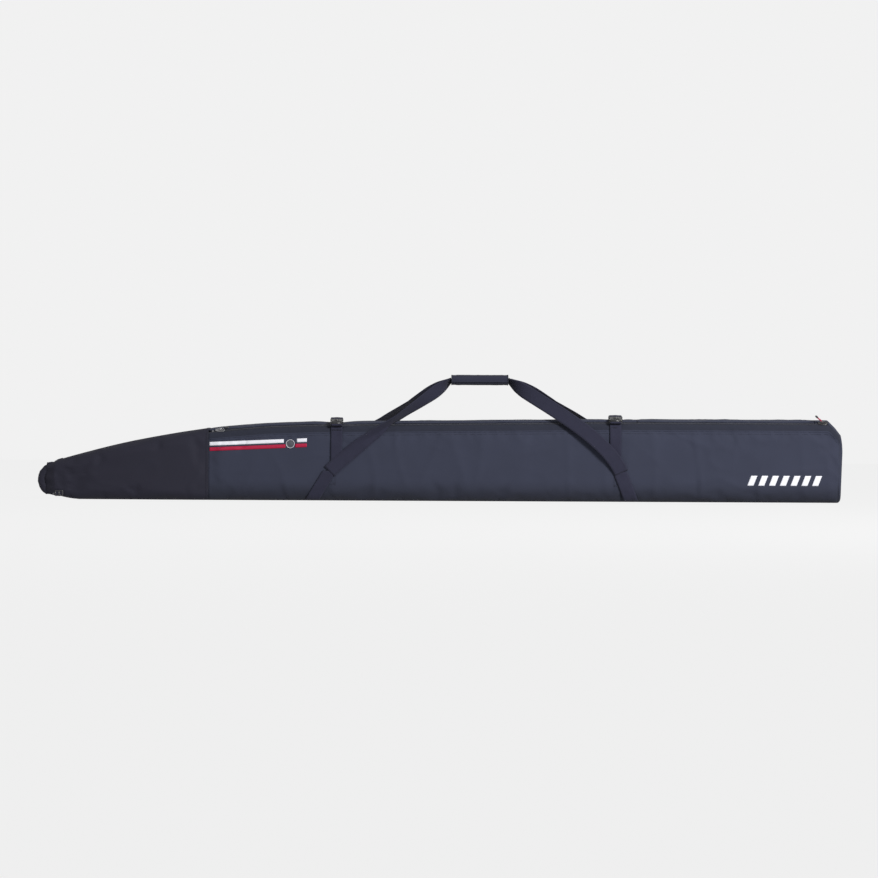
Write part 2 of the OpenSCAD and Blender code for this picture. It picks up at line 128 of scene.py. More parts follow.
def smooth(t):
    t = max(0.0, min(1.0, t))
    return t * t * (3 - 2 * t)


def along(points, x):
    """Straight lines between (x, y) points."""
    if x <= points[0][0]:
        return points[0][1]
    for (xa, ya), (xb, yb) in zip(points, points[1:]):
        if x <= xb:
            return lerp(ya, yb, (x - xa) / (xb - xa))
    return points[-1][1]


def nose_top(x):
    u = (x - NOSE_END_X) / NOSE_RISE
    return NOSE_END_H + (BODY_H - 10 * MM - NOSE_END_H) * (1 - (1 - u) ** 1.9)


TOP_LINE = [(SEAM_X, nose_top(SEAM_X)), (-0.45, BODY_H - 14.5 * MM), (-0.34, BODY_H - 10 * MM),
            (0.43, BODY_H), (CORNER_X, BODY_H), (1.031, BODY_H - 18.5 * MM),
            (1.0465, BODY_H - 38.5 * MM), (END_X, BODY_H - 61.4 * MM)]


def top_at(x):
    return nose_top(x) if x < SEAM_X else along(TOP_LINE, x)


def side_at(x):
    return HALF if x >= SEAM_X else HALF - 29 * MM * ((SEAM_X - x) / 0.36) ** 1.6


def floor_at(x):
    return 0.0 if x >= NOSE_LIFT_X else 11 * MM * ((NOSE_LIFT_X - x) / (NOSE_LIFT_X - NOSE_END_X)) ** 2


def place(x, s, d=0.0):
    """A point of the section at x, d metres deep. s runs from the front of the base over the top to the
    back: 0 to 1 and 6 to 7 are the base's rounded edges, 1 to 2 the front, 2 to 3 and 4 to 5 the top's
    rounded edges, 3 to 4 the top, 5 to 6 the back and 7 to 8 the base."""
    b, h, f = side_at(x), top_at(x), floor_at(x)
    rt, rb = min(TOP_R, 0.8 * b), min(BASE_R, 0.6 * b)
    k = s % AROUND
    part = int(k)
    u = k - part
    sa, ca = sin(u * pi / 2), cos(u * pi / 2)
    wall = h - rt - f - rb
    y, z = ((-(b - rb) - (rb - d) * sa, f + rb - (rb - d) * ca),
            (-(b - d), f + rb + u * wall),
            (-(b - rt) - (rt - d) * ca, h - rt + (rt - d) * sa),
            ((2 * u - 1) * (b - rt), h - d),
            (b - rt + (rt - d) * sa, h - rt + (rt - d) * ca),
            (b - d, h - rt - u * wall),
            (b - rb + (rb - d) * ca, f + rb - (rb - d) * sa),
            ((1 - 2 * u) * (b - rb), f + d))[part]
    return Vector((x, y, z))


def outward(x, s):
    return (place(x, s) - place(x, s, MM)).normalized()


def s_at(x, z):
    """The section place on the front face at height z."""
    return 1 + (z - BASE_R) / (top_at(x) - TOP_R - BASE_R)


def steps(a, b, size):
    n = max(1, round(abs(b - a) / size))
    return [lerp(a, b, i / n) for i in range(n + 1)]


def section_steps(s0, s1, size):
    """Section places from s0 to s1, about size metres apart."""
    top, base = TOP_R * pi / 2, BASE_R * pi / 2
    lengths = [base, 0.167, top, 0.07, top, 0.167, base, 0.086]
    out = [s0]
    for k in range(floor(s0), ceil(s1)):
        a, b = max(s0, k), min(s1, k + 1)
        if b > a:
            out += steps(a, b, size / lengths[k % AROUND])[1:]
    return out


# ---- Cloth behaviour ------------------------------------------------------

def fold(x, y, seed, sharp=3.0):
    """A crease field: 1 on a crease, falling to 0 between creases."""
    return (1 - abs(wobble(x, y, seed))) ** (sharp * 4)


def pull_in(x, s):
    """How far the compression straps draw the shell in."""
    k = s % AROUND
    over_top = smooth((k - 1.7) / 0.6) * smooth((5.4 - k) / 0.4)
    near = exp(-((x - LEFT_X) / 0.034) ** 2) + 0.5 * exp(-((x - RIGHT_X) / 0.03) ** 2)
    return STRAP_DRAW * near * over_top


def rumple(x, s):
    """How far the padded shell stands out: a crowned face with soft lumps, upright and slanting creases,
    and puckers at its seams. It dies out on the base and is quieter on the top."""
    k = s % AROUND
    crown = sin(pi * (k % 1)) if 1 <= k < 2 or 5 <= k < 6 else 0
    soft = 1.3 * wobble(x * 7, k * 0.9, 1) + 0.6 * wobble(x * 21, k * 1.6, 5)
    upright = fold(x * 9, k * 0.55, 11) * 2.1
    slant = fold(x * 6 + k * 1.1, k * 1.3 - x * 3, 23, 4) * 2.4 * (0.35 + 0.65 * smooth((x - 0.45) / 0.3))
    edge = min(abs(k - 2), abs(k - 2.5), abs(k - 5), abs(k - 0.4))
    pucker = 0.35 * wobble(x * 75, 3, k) * exp(-edge / 0.09)
    flat = smooth(abs(k - 2.5) / 0.2) if 2 <= k < 3 else 1
    base = 0.0 if k < 0.35 or k > 6.65 else smooth((k - 0.35) / 0.5)
    base *= 1 - 0.65 * smooth((k - 1.9) / 0.3) * smooth((5.2 - k) / 0.3)
    return (1.6 * crown + (soft + upright + slant - 1.6) * flat + pucker) * base * MM - pull_in(x, s)


CLOTH = dict(quality=4, mass=0.25, tension_stiffness=18, compression_stiffness=18, shear_stiffness=8,
             bending_stiffness=1.2, air_damping=4, use_pressure=True, vertex_group_mass="pins")
CLOTH_FRAMES = 16


def relax(obj, pins, grow=0.012, pressure=1.5, cap=4 * MM):
    """Short cloth simulation of a thin skin that is sewn along its pinned vertices. No point moves
    further than cap."""
    before = [v.co.copy() for v in obj.data.vertices]
    group = obj.vertex_groups.new(name="pins")
    group.add(sorted(pins), 1.0, "REPLACE")
    mod = obj.modifiers.new("cloth", "CLOTH")
    cloth = mod.settings
    for key, value in CLOTH.items():
        setattr(cloth, key, value)
    cloth.shrink_min = -grow
    cloth.uniform_pressure_force = pressure
    cloth.effector_weights.gravity = 0
    mod.collision_settings.use_collision = False
    scene = bpy.context.scene
    mod.point_cache.frame_start = 1
    mod.point_cache.frame_end = CLOTH_FRAMES
    for f in range(1, CLOTH_FRAMES + 1):
        scene.frame_set(f)
    after = obj.evaluated_get(bpy.context.evaluated_depsgraph_get()).data
    settled = []
    for old, v in zip(before, after.vertices):
        step = v.co - old
        if not step.length < 1:
            step = Vector()
        settled.append(old + step * min(1.0, cap / max(step.length, 1e-9)))
    obj.modifiers.remove(mod)
    scene.frame_set(1)
    for v, co in zip(obj.data.vertices, settled):
        v.co = co


# ---- Mesh helpers ----------------------------------------------------------

def new_object(name, data):
    obj = bpy.data.objects.new(name, data)
    bpy.context.collection.objects.link(obj)
    return obj


def finished_mesh(obj):
    """The object's mesh with its modifiers applied."""
    dg = bpy.context.evaluated_depsgraph_get()
    return bpy.data.meshes.new_from_object(obj.evaluated_get(dg))


def link(name, verts, faces, mats, uvs=None):
    mesh = bpy.data.meshes.new(name)
    mesh.from_pydata([tuple(v) for v in verts], [], faces)
    mesh.update()
    if uvs:
        layer = mesh.uv_layers.new(name="UVMap")
        for loop in mesh.loops:
            layer.data[loop.index].uv = uvs[loop.vertex_index]
    for m in mats:
        mesh.materials.append(m)
    mesh.polygons.foreach_set("use_smooth", [True] * len(mesh.polygons))
    return new_object(name, mesh)


def grid(name, rows, mats, closed=False, flip=False):
    """A skin through rows of points. Its UVs are in metres: along the rows, then across them."""
    n, m = len(rows), len(rows[0])
    verts = [p for row in rows for p in row]
    v_at = [0.0]
    for a, b in zip(rows, rows[1:]):
        v_at.append(v_at[-1] + (b[m // 2] - a[m // 2]).length)
    uvs = []
    for i, row in enumerate(rows):
        u = 0.0
        for j, p in enumerate(row):
            if j:
                u += (p - row[j - 1]).length
            uvs.append((v_at[i], u))
    faces = []
    for i in range(n - 1):
        for j in range(m if closed else m - 1):
            k = (j + 1) % m
            quad = (i * m + j, i * m + k, (i + 1) * m + k, (i + 1) * m + j)
            faces.append(quad[::-1] if flip else quad)
    return link(name, verts, faces, mats, uvs)


def capped(obj):
    """Closes the openings that a grid's last ring, and its first, leave at their middles."""
    bm = bmesh.new()
    bm.from_mesh(obj.data)
    small = [e for e in bm.edges if e.is_boundary and e.calc_length() < 2 * MM]
    bmesh.ops.holes_fill(bm, edges=small, sides=0)
    bm.to_mesh(obj.data)
    bm.free()
    return obj


def solid(obj, thickness, offset=-1.0, inner=0, edge_group=None, thin=0.2):
    """Gives a skin its thickness. inner is the material step of its inner side."""
    mod = obj.modifiers.new("thickness", "SOLIDIFY")
    mod.thickness = thickness
    mod.offset = offset
    mod.material_offset = inner
    mod.use_even_offset = False
    if edge_group:
        mod.vertex_group = edge_group
        mod.thickness_vertex_group = thin
    return obj


def apply_modifiers(obj):
    old, obj.data = obj.data, finished_mesh(obj)
    obj.modifiers.clear()
    bpy.data.meshes.remove(old)


def moved(obj, matrix):
    obj.data.transform(matrix)
    return obj


def plate(name, outlines, z0, z1, mat, bevel=0.5):
    """A moulded plate in XY from z0 to z1, all in millimetres. The outlines after the first are holes."""
    curve = bpy.data.curves.new(name, "CURVE")
    curve.dimensions = "2D"
    curve.fill_mode = "BOTH"
    curve.extrude = max((z1 - z0) / 2 - bevel, 0.01) * MM
    curve.bevel_depth = bevel * MM
    curve.bevel_resolution = 2
    curve.offset = -bevel * MM
    for outline in outlines:
        spline = curve.splines.new("POLY")
        spline.points.add(len(outline) - 1)
        for point, (x, y) in zip(spline.points, outline):
            point.co = (x * MM, y * MM, 0, 1)
        spline.use_cyclic_u = True
    holder = new_object(name + "_curve", curve)
    mesh = finished_mesh(holder)
    bpy.data.objects.remove(holder)
    mesh.transform(Matrix.Translation(mm(0, 0, (z0 + z1) / 2)))
    mesh.materials.clear()
    mesh.materials.append(mat)
    return new_object(name, mesh)


def rounded(w, h, r, cx=0.0, cy=0.0, n=5):
    """Outline of a rounded rectangle."""
    out = []
    for qx, qy, a0 in ((1, 1, 0), (-1, 1, 90), (-1, -1, 180), (1, -1, 270)):
        for i in range(n + 1):
            a = radians(a0 + 90 * i / n)
            out.append((cx + qx * (w / 2 - r) + r * cos(a), cy + qy * (h / 2 - r) + r * sin(a)))
    return out


def tube(name, path, radius, mat, sides=10, closed=False):
    """A round rod along a path. radius is in millimetres: a number, or a function of the step."""
    rows = []
    n = len(path)
    side = None
    for i, p in enumerate(path):
        before = path[i - 1] if i or closed else p
        after = path[(i + 1) % n] if i < n - 1 or closed else p
        t = (after - before).normalized()
        if side is None:
            side = t.cross(Vector((0.13, 0.31, 0.94))).normalized()
        side = (side - side.dot(t) * t).normalized()
        up = t.cross(side)
        r = (radius(i) if callable(radius) else radius) * MM
        rows.append([p + r * (cos(a) * side + sin(a) * up) for a in circle(sides)])
    if closed:
        return grid(name, rows + rows[:1], [mat], closed=True, flip=True)
    open_rod = grid(name, rows, [mat], closed=True, flip=True)
    faces = [tuple(p.vertices) for p in open_rod.data.polygons]
    faces += [tuple(range(sides)), tuple(range((n - 1) * sides, n * sides))[::-1]]
    rod = link(name + "_c", [v.co for v in open_rod.data.vertices], faces, [mat])
    bpy.data.objects.remove(open_rod)
    rod.name = name
    return rod


def join(name, parts):
    """Joins objects into one piece, with their modifiers applied."""
    for p in parts:
        apply_modifiers(p)
    bpy.ops.object.select_all(action="DESELECT")
    for p in parts:
        p.select_set(True)
    bpy.context.view_layer.objects.active = parts[0]
    if len(parts) > 1:
        bpy.ops.object.join()
    parts[0].name = name
    parts[0].data.name = name
    return parts[0]


def piece(obj, body, slot, *nodes):
    """Attaches a finished piece to the body it rides on, and hides the CAD nodes it stands for. slot is not
    used.
    A piece that bends between two bodies has no body here."""
    if body:
        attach(obj, body)
    if nodes:
        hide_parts(*nodes)
    return obj


# ---- Materials -------------------------------------------------------------

class Nodes:
    """A material's node tree, with short calls for the nodes that repeat."""

    def __init__(self, name, roughness, metallic=0.0, sheen=0.0, specular=0.15):
        self.mat = bpy.data.materials.new(name)
        self.mat.use_nodes = True
        self.tree = self.mat.node_tree
        self.bsdf = self.tree.nodes["Principled BSDF"]
        values = {"Roughness": roughness, "Metallic": metallic, "Specular IOR Level": specular,
                  "Sheen Weight": sheen, "Sheen Roughness": 0.5}
        for key, value in values.items():
            self.bsdf.inputs[key].default_value = value

    def new(self, kind, inputs=None, **settings):
        node = self.tree.nodes.new(kind)
        for key, value in settings.items():
            setattr(node, key, value)
        for key, value in (inputs or {}).items():
            node.inputs[key].default_value = value
        return node

    def wire(self, a, b):
        self.tree.links.new(a, b)

    def coordinate(self, source="UV"):
        return self.new("ShaderNodeTexCoord").outputs[source]

    def noise(self, coord, scale, detail):
        node = self.new("ShaderNodeTexNoise", {"Scale": scale, "Detail": detail})
        self.wire(coord, node.inputs["Vector"])
        return node.outputs["Fac"]

    def wave(self, coord, period, direction, turn=0.0):
        """Ribs period metres apart. The Wave node's own period is 2 pi / 20 at scale 1."""
        mapping = self.new("ShaderNodeMapping", {"Rotation": (0, 0, turn)})
        node = self.new("ShaderNodeTexWave", {"Scale": 2 * pi / 20 / period}, bands_direction=direction)
        self.wire(coord, mapping.inputs["Vector"])
        self.wire(mapping.outputs["Vector"], node.inputs["Vector"])
        return node.outputs["Fac"]

    def math(self, kind, a, b):
        node = self.new("ShaderNodeMath", operation=kind)
        for socket, value in zip(node.inputs, (a, b)):
            if isinstance(value, (int, float)):
                socket.default_value = value
            else:
                self.wire(value, socket)
        return node.outputs[0]

    def weigh(self, a, part_a, b, part_b):
        return self.math("ADD", self.math("MULTIPLY", a, part_a), self.math("MULTIPLY", b, part_b))

    def mix(self, low, high, fac):
        ramp = self.new("ShaderNodeMix", data_type="RGBA")
        for socket, value in ((ramp.inputs[6], low), (ramp.inputs[7], high)):
            if isinstance(value, tuple):
                socket.default_value = (*value, 1)
            else:
                self.wire(value, socket)
        self.wire(fac, ramp.inputs[0])
        return ramp.outputs[2]

    def blend(self, low, high, fac):
        """The base colour runs from low to high with fac."""
        self.wire(self.mix(low, high, fac), self.bsdf.inputs["Base Color"])

    def height_ramp(self, z0, z1):
        """0 at height z0 and below, 1 at z1 and above."""
        parts = self.new("ShaderNodeSeparateXYZ")
        self.wire(self.coordinate("Object"), parts.inputs[0])
        ends = {"From Min": z0, "From Max": z1}
        spread = self.new("ShaderNodeMapRange", ends, interpolation_type="SMOOTHSTEP")
        self.wire(parts.outputs["Z"], spread.inputs["Value"])
        return spread.outputs["Result"]

    def rough(self, fac, low, high):
        spread = self.new("ShaderNodeMapRange", {"To Min": low, "To Max": high})
        self.wire(fac, spread.inputs["Value"])
        self.wire(spread.outputs["Result"], self.bsdf.inputs["Roughness"])

    def weave(self, coord, thread):
        return self.math("MULTIPLY", self.wave(coord, thread, "X"), self.wave(coord, thread, "Y"))

    def bump(self, height, distance):
        node = self.new("ShaderNodeBump", {"Distance": distance, "Strength": 1.0})
        self.wire(height, node.inputs["Height"])
        self.wire(node.outputs["Normal"], self.bsdf.inputs["Normal"])


def shade(colour, k):
    return tuple(c * k for c in colour)


def woven(name, colour, thread, roughness, sheen, bump, spread=0.16, base_shade=0.0):
    """A plain weave of threads, with soft tone changes from wear. Its last argument darkens it towards the
    floor: painted shade for the rounded base, which turns away from the light.
    """
    n = Nodes(name, roughness, sheen=sheen)
    uv = n.coordinate()
    weave = n.weave(uv, thread)
    fine = n.noise(uv, 900, 2)
    tone = n.weigh(n.noise(uv, 14, 4), 0.6, fine, 0.4)
    unshaded = n.mix(shade(colour, 1 - spread), shade(colour, 1 + spread), tone)
    # painted shade: the colour darkens towards the floor
    if base_shade:
        n.blend(shade(colour, 1 - base_shade), unshaded, n.height_ramp(8 * MM, 60 * MM))
    else:
        n.wire(unshaded, n.bsdf.inputs["Base Color"])
    n.rough(fine, roughness - 0.06, roughness + 0.08)
    n.bump(n.math("ADD", weave, n.math("MULTIPLY", fine, 0.5)), bump)
    return n.mat


def webbing(name, colour):
    """Ribbed webbing: ribs along it, broken into a slanted weave."""
    n = Nodes(name, 0.85, sheen=0.02)
    uv = n.coordinate()
    ribs = n.wave(uv, 2.2 * MM, "Y")
    picks = n.wave(uv, 1.3 * MM, "X", radians(24))
    height = n.weigh(ribs, 0.55, picks, 0.45)
    n.blend(shade(colour, 0.72), shade(colour, 1.25), n.weigh(height, 0.6, n.noise(uv, 60, 3), 0.4))
    n.bump(height, 0.35 * MM)
    return n.mat


def moulded(name, colour, roughness, metallic=0.0, grain=0.04 * MM):
    """Moulded plastic or plated metal with a faint grain and worn edges."""
    n = Nodes(name, roughness, metallic, specular=0.5)
    coord = n.coordinate("Object")
    wear = n.noise(coord, 160, 4)
    n.blend(shade(colour, 0.85), shade(colour, 1.3), wear)
    n.rough(wear, roughness - 0.05, roughness + 0.1)
    n.bump(n.noise(coord, 1800, 2), grain)
    return n.mat


def printed(name, colour, thread):
    """A printed layer that still shows the weave under it, with a few worn spots."""
    n = Nodes(name, 0.5)
    uv = n.coordinate()
    weave = n.weave(uv, thread)
    worn = n.noise(uv, 300, 5)
    n.blend(shade(colour, 0.86), colour, n.math("ADD", worn, 0.25))
    n.bump(weave, 0.12 * MM)
    return n.mat


def braid(name, colour):
    n = Nodes(name, 0.75, sheen=0.02)
    uv = n.coordinate()
    left = n.wave(uv, 1.1 * MM, "X", radians(40))
    right = n.wave(uv, 1.1 * MM, "X", radians(-40))
    both = n.math("MULTIPLY", left, right)
    n.blend(shade(colour, 0.55), shade(colour, 1.2), both)
    n.bump(both, 0.25 * MM)
    return n.mat


def pile(name, colour, scale):
    """Hook-and-loop tape, or the cells of foam."""
    n = Nodes(name, 0.95)
    coord = n.coordinate("Object")
    cells = n.noise(coord, scale, 2)
    n.blend(shade(colour, 0.6), shade(colour, 1.3), cells)
    n.bump(cells, 0.6 * MM)
    return n.mat


NAVY = (0.0142, 0.0162, 0.0278)
# painted shade: the shell darkens towards the floor, standing in for the shade on its rounded base
M_SHELL = woven("shell_fabric", NAVY, 0.8 * MM, 0.85, 0.03, 0.10 * MM, base_shade=0.42)
# painted shade: the zip band is its own panel of shell fabric, darkened to stand in for the shade on the top
# edge that curves away from the light
M_SHADED_BAND = woven("band_fabric_painted_shade", shade(NAVY, 0.60), 0.8 * MM, 0.85, 0.03, 0.10 * MM)
M_NOSE = woven("nose_fabric", (0.0078, 0.0076, 0.0138), 0.5 * MM, 0.78, 0.01, 0.04 * MM, 0.12)
M_WEB = webbing("webbing", (0.0098, 0.0100, 0.0200))
M_LINING = woven("lining", (0.012, 0.012, 0.015), 1.0 * MM, 0.75, 0.1, 0.12 * MM)
M_TAPE = woven("zip_tape", (0.0080, 0.0092, 0.0160), 0.6 * MM, 0.75, 0.03, 0.10 * MM)
M_TEETH = moulded("zip_teeth", (0.0090, 0.0100, 0.0165), 0.5)
M_PLASTIC = moulded("buckle_plastic", (0.004, 0.004, 0.005), 0.30)
M_SILVER = moulded("slider_silver", (0.20, 0.20, 0.21), 0.32, 1.0, 0.01 * MM)
M_BLACK = moulded("slider_black", (0.008, 0.008, 0.009), 0.32)
M_CORD = braid("pull_cord", (0.30, 0.02, 0.055))
M_WHITE = printed("stripe_white", (0.39, 0.39, 0.42), 0.8 * MM)
M_RED = printed("stripe_red", (0.19, 0.0015, 0.020), 0.8 * MM)
M_BADGE = moulded("badge_plastic", (0.014, 0.015, 0.022), 0.4)
M_BINDING = woven("binding", (0.0085, 0.0095, 0.0165), 0.9 * MM, 0.7, 0.03, 0.15 * MM)
M_THREAD = braid("thread", (0.0110, 0.0115, 0.0200))
M_GRIP = woven("grip_fabric", (0.0100, 0.0108, 0.0200), 1.1 * MM, 0.85, 0.03, 0.16 * MM)
M_HOOK = pile("hook_loop", (0.010, 0.010, 0.012), 1500)


# ---- Camera, lights and floor ----------------------------------------------

def softbox(name, place_at, look_at, size, watts):
    light = bpy.data.lights.new(name, "AREA")
    light.shape = "RECTANGLE"
    light.size, light.size_y = size
    light.energy = watts
    lamp = new_object(name, light)
    lamp.location = place_at
    aim = Vector(look_at) - Vector(place_at)
    lamp.rotation_euler = aim.to_track_quat("-Z", "Y").to_euler()


def studio():
    # The camera looks straight at the front, level with the middle of the whole bag.
    distance = 8.0
    view_width = 2.2986
    eye_height = 0.1614
    roll_degrees = -0.28
    data = bpy.data.cameras.new("camera")
    data.sensor_width = 36
    data.lens = data.sensor_width * distance / view_width
    camera = new_object("camera", data)
    camera.location = (0, -distance, eye_height)
    camera.rotation_euler = (radians(90), radians(roll_degrees), 0)
    bpy.context.scene.camera = camera

    world = bpy.data.worlds.new("studio")
    world.use_nodes = True
    background = world.node_tree.nodes["Background"]
    background.inputs["Color"].default_value = (0.88, 0.88, 0.88, 1)
    background.inputs["Strength"].default_value = 1.0
    bpy.context.scene.world = world

    # The floor glows faintly, so that it runs into the backdrop with only a soft shadow.
    floor_mat = Nodes("floor", 0.9, specular=0.0)
    floor_mat.bsdf.inputs["Base Color"].default_value = (0.014, 0.014, 0.014, 1)
    floor_mat.bsdf.inputs["Emission Color"].default_value = (1, 1, 1, 1)
    floor_mat.bsdf.inputs["Emission Strength"].default_value = 0.85
    radius = 14
    ring = [(radius * cos(a), radius * sin(a), -0.5 * MM) for a in circle(96)]
    link("floor", ring, [tuple(range(len(ring)))], [floor_mat.mat])

    softbox("front_soft", (2.2, -3.2, 1.7), (0.0, 0, 0.12), (1.1, 0.8), 330)
    softbox("fill_soft", (-2.6, -3.6, 1.2), (-0.2, 0, 0.12), (2.4, 1.6), 25)


bpy.context.scene.view_settings.view_transform = "Standard"
studio()


# ---- Padded shell ------------------------------------------------------------

def lean(p):
    """The tail end leans: its foot is set back a little."""
    back = FOOT_SET_BACK * smooth((p.x - 0.95) / 0.1) * max(0.0, 1 - p.z / 0.15)
    return Vector((p.x - back, p.y, p.z))


def skin_point(x, s):
    return lean(place(x, s) + outward(x, s) * rumple(x, s))


def nearest(values, target):
    return min(range(len(values)), key=lambda i: abs(values[i] - target))


def on_base(s):
    return s % AROUND >= 6.9 or s % AROUND <= 0.1


def padded_skin(name, xs, ss, sew_at=(), grow=0.012, cap=4 * MM):
    """A padded panel over xs and ss, sewn round its edge and at the section places in sew_at."""
    mats = [M_SHELL, M_LINING, M_SHADED_BAND, M_LINING]
    obj = grid(name, [[skin_point(x, s) for s in ss] for x in xs], mats, flip=True)
    m = len(ss)
    # faces on the zip band get the band material, whose darker colour is painted shade
    band_start = AROUND + BAND_S - 0.01
    for i, face in enumerate(obj.data.polygons):
        face.material_index = 2 if ss[i % (m - 1)] > band_start else 0
    sewn = {nearest(ss, s) for s in sew_at} | {0, m - 1}
    sewn |= {j for j, s in enumerate(ss) if on_base(s)}
    pins = {i * m + j for i in range(len(xs)) for j in sewn}
    pins |= {i * m + j for i in (0, 1, len(xs) - 2, len(xs) - 1) for j in range(m)}
    relax(obj, pins, grow, cap=cap)
    # the padding thins out to the sewn edges, and behind the zip band there is none
    hem = obj.vertex_groups.new(name="padding")
    for i in range(len(xs)):
        for j in range(m):
            near = min(j, m - 1 - j, 3) / 3 if ss[j] < 9.9 else 0.0
            hem.add([i * m + j], smooth(near), "REPLACE")
    return solid(obj, PAD, inner=1, edge_group="padding", thin=0.18)


GRAIN = 7 * MM
body_ss = section_steps(BACK_SEAM_S, AROUND + ZIP_S - ZIP_EDGE, GRAIN)
top_ss = section_steps(ZIP_S + ZIP_EDGE, BACK_SEAM_S, GRAIN)
shell = padded_skin("body_shell", steps(SEAM_X, TAIL_X, GRAIN), body_ss, (AROUND + BAND_S, BACK_SEAM_S))
top = padded_skin("top_cover", steps(SEAM_X, TOP_X1, GRAIN), top_ss, cap=1.2 * MM)
flap = padded_skin("tail_flap_cover", steps(FLAP_X0, FLAP_X1, GRAIN), top_ss, grow=0.008, cap=1.2 * MM)


def yoke_sections(x):
    """The yoke starts above the zip, and beyond the zip's end it reaches the band's edge."""
    closed = smooth((x - CORNER_X + 4 * MM) / (6 * MM))
    start = lerp(ZIP_S + ZIP_EDGE, ZIP_S - ZIP_EDGE, closed)
    return [lerp(start, 3, i / 6) for i in range(6)] + section_steps(3, 5, GRAIN)


def make_tail_top():
    xs = steps(YOKE_X, CORNER_X - MM, 5 * MM) + steps(CORNER_X + 2 * MM, TAIL_X, 4 * MM)
    rows = [[skin_point(x, s) for s in yoke_sections(x)] for x in xs]
    return solid(grid("tail_top", rows, [M_SHELL, M_LINING], flip=True), 3 * MM, inner=1)


def make_tail_end():
    """The rounded tail end: rings that turn over its edge, then close to the middle."""
    ss = section_steps(0, 8, GRAIN)[:-1]
    rows = []
    turn = END_X - TAIL_X
    for i in range(7):
        a = i / 6 * pi / 2
        x, d = TAIL_X + turn * sin(a), 9 * MM * (1 - cos(a))
        rows.append([lean(place(x, s, d)) if i else skin_point(x, s) for s in ss])
    last = rows[-1]
    middle = sum(last, Vector()) / len(last)
    for k in (0.88, 0.72, 0.54, 0.36, 0.18, 0.04):
        puff = 1.5 * MM * sin(pi * k)
        dent = 1.5 * MM * k * (1 - k)
        rows.append([middle + (p - middle) * k + Vector((puff * noise.noise(p * 26) - dent, 0, 0))
                     for p in last])
    return solid(capped(grid("tail_end", rows, [M_SHELL, M_LINING], True, True)), 2 * MM, inner=1)


tail_top = make_tail_top()
tail_end = make_tail_end()


# ---- Nose ----------------------------------------------------------------------

ROLL_R = (roll_hi.y - roll_lo.y) / 2
ROLL_BEND = 37 * MM                 # bend radius of the roll's middle line
ROLL_WIDE = 13 * MM                 # half of the roll's width, as it is seen from the front
ROLL_C = Vector((-END_X + ROLL_BEND + ROLL_WIDE, 0, 50 * MM))
GATHER_LOW, GATHER_HIGH = 13.5 * MM, 95.5 * MM


def nose_rumple(x, s):
    """Soft folds that grow towards the roll, lengthwise as the cloth is gathered."""
    k = s % AROUND
    t = smooth((-0.72 - x) / 0.28)
    lengthwise = wobble(x * 5, k * 3.2, 2) * 2.4 * t
    soft = wobble(x * 9, k * 0.9, 8) * 1.6
    crease = fold(x * 8, k * 0.8, 31, 4) * 1.0
    base = 0.0 if (k >= 6.7 or k < 0.3) and x > -0.93 else 1.0
    base *= 1 - 0.75 * smooth((k - 1.8) / 0.4) * smooth((5.2 - k) / 0.4)
    return (lengthwise + soft + crease - 0.8) * smooth((SEAM_X - x) / 0.04) * base * MM


def make_nose():
    ss = section_steps(0, 8, GRAIN)[:-1]
    rows = []
    low, high = floor_at(NOSE_X), top_at(NOSE_X)
    for t in (1.0, 0.85, 0.7, 0.55, 0.4, 0.28, 0.16, 0.08):
        row = []
        for s in ss:
            p = place(NOSE_X, s)
            v = (p.z - low) / (high - low)
            z = lerp(p.z, lerp(GATHER_LOW, GATHER_HIGH, v), smooth(t / 0.4))
            end_x = -1030 * MM + 5 * MM * (2 * v - 1) ** 2
            pleat = 1 + 0.16 * smooth(t) * sin(s * 9)
            row.append(Vector((lerp(NOSE_X, end_x, t), p.y * lerp(1, 0.30, t ** 1.25) * pleat, z)))
        rows.append(row)
    for x in steps(NOSE_X, SEAM_X, GRAIN):
        rows.append([place(x, s) + outward(x, s) * nose_rumple(x, s) for s in ss])
    obj = grid("nose_skin", rows, [M_NOSE, M_LINING], closed=True, flip=True)
    m = len(ss)
    n = len(rows)
    pins = {i * m + j for i in list(range(10)) + [n - 2, n - 1] for j in range(m)}
    pins |= {i * m + j for i in range(n) for j, s in enumerate(ss) if on_base(s) or 2.9 < s < 4.1}
    relax(obj, pins, 0.010, pressure=1.0)
    return solid(obj, NOSE_PAD * 0.5, inner=1)


# How far in each ring of the roll's ends lies, as a part of its radius, and how deep in millimetres.
LAYER_RINGS = ((0.93, -0.6), (0.80, -0.8), (0.76, 1.2), (0.62, 0.9), (0.57, 2.2), (0.42, 1.8), (0.36, 3.0),
               (0.2, 2.6), (0.05, 3.2))


def mean(points):
    return sum(points, Vector()) / len(points)


def make_roll():
    """The nose's end, rolled up and bent to a C, with its layers showing at both ends."""
    rows = []
    n = 34
    for i in range(n + 1):
        a = radians(lerp(116, 234, i / n))
        out = Vector((cos(a), 0, sin(a)))
        centre = ROLL_C + ROLL_BEND * out
        swell = 1 - 0.20 * (abs(2 * i / n - 1)) ** 3
        row = []
        for j, b in enumerate(circle(40)):
            layer_edge = 1.3 * MM * smooth(1 - abs(j - 25) / 2.0)
            crumple = 1.1 * MM * wobble(i * 0.33, j * 0.28, 4) - 0.7 * MM - layer_edge
            wide = (ROLL_WIDE * swell + crumple) * cos(b)
            deep = (ROLL_R * swell + crumple) * sin(b)
            row.append(centre + wide * out + Vector((0, deep, 0)))
        rows.append(row)

    def end_rings(row, inner_row):
        """The spiral of layers: rings that step in and out as they close."""
        centre = mean(row)
        ahead = (mean(inner_row) - centre).normalized() * MM
        return [[centre + (p - centre) * k + ahead * depth for p in row] for k, depth in LAYER_RINGS]

    rows = end_rings(rows[0], rows[1])[::-1] + rows + end_rings(rows[-1], rows[-2])
    return capped(grid("nose_roll_cloth", rows, [M_NOSE], closed=True, flip=True))


nose = make_nose()
roll = make_roll()


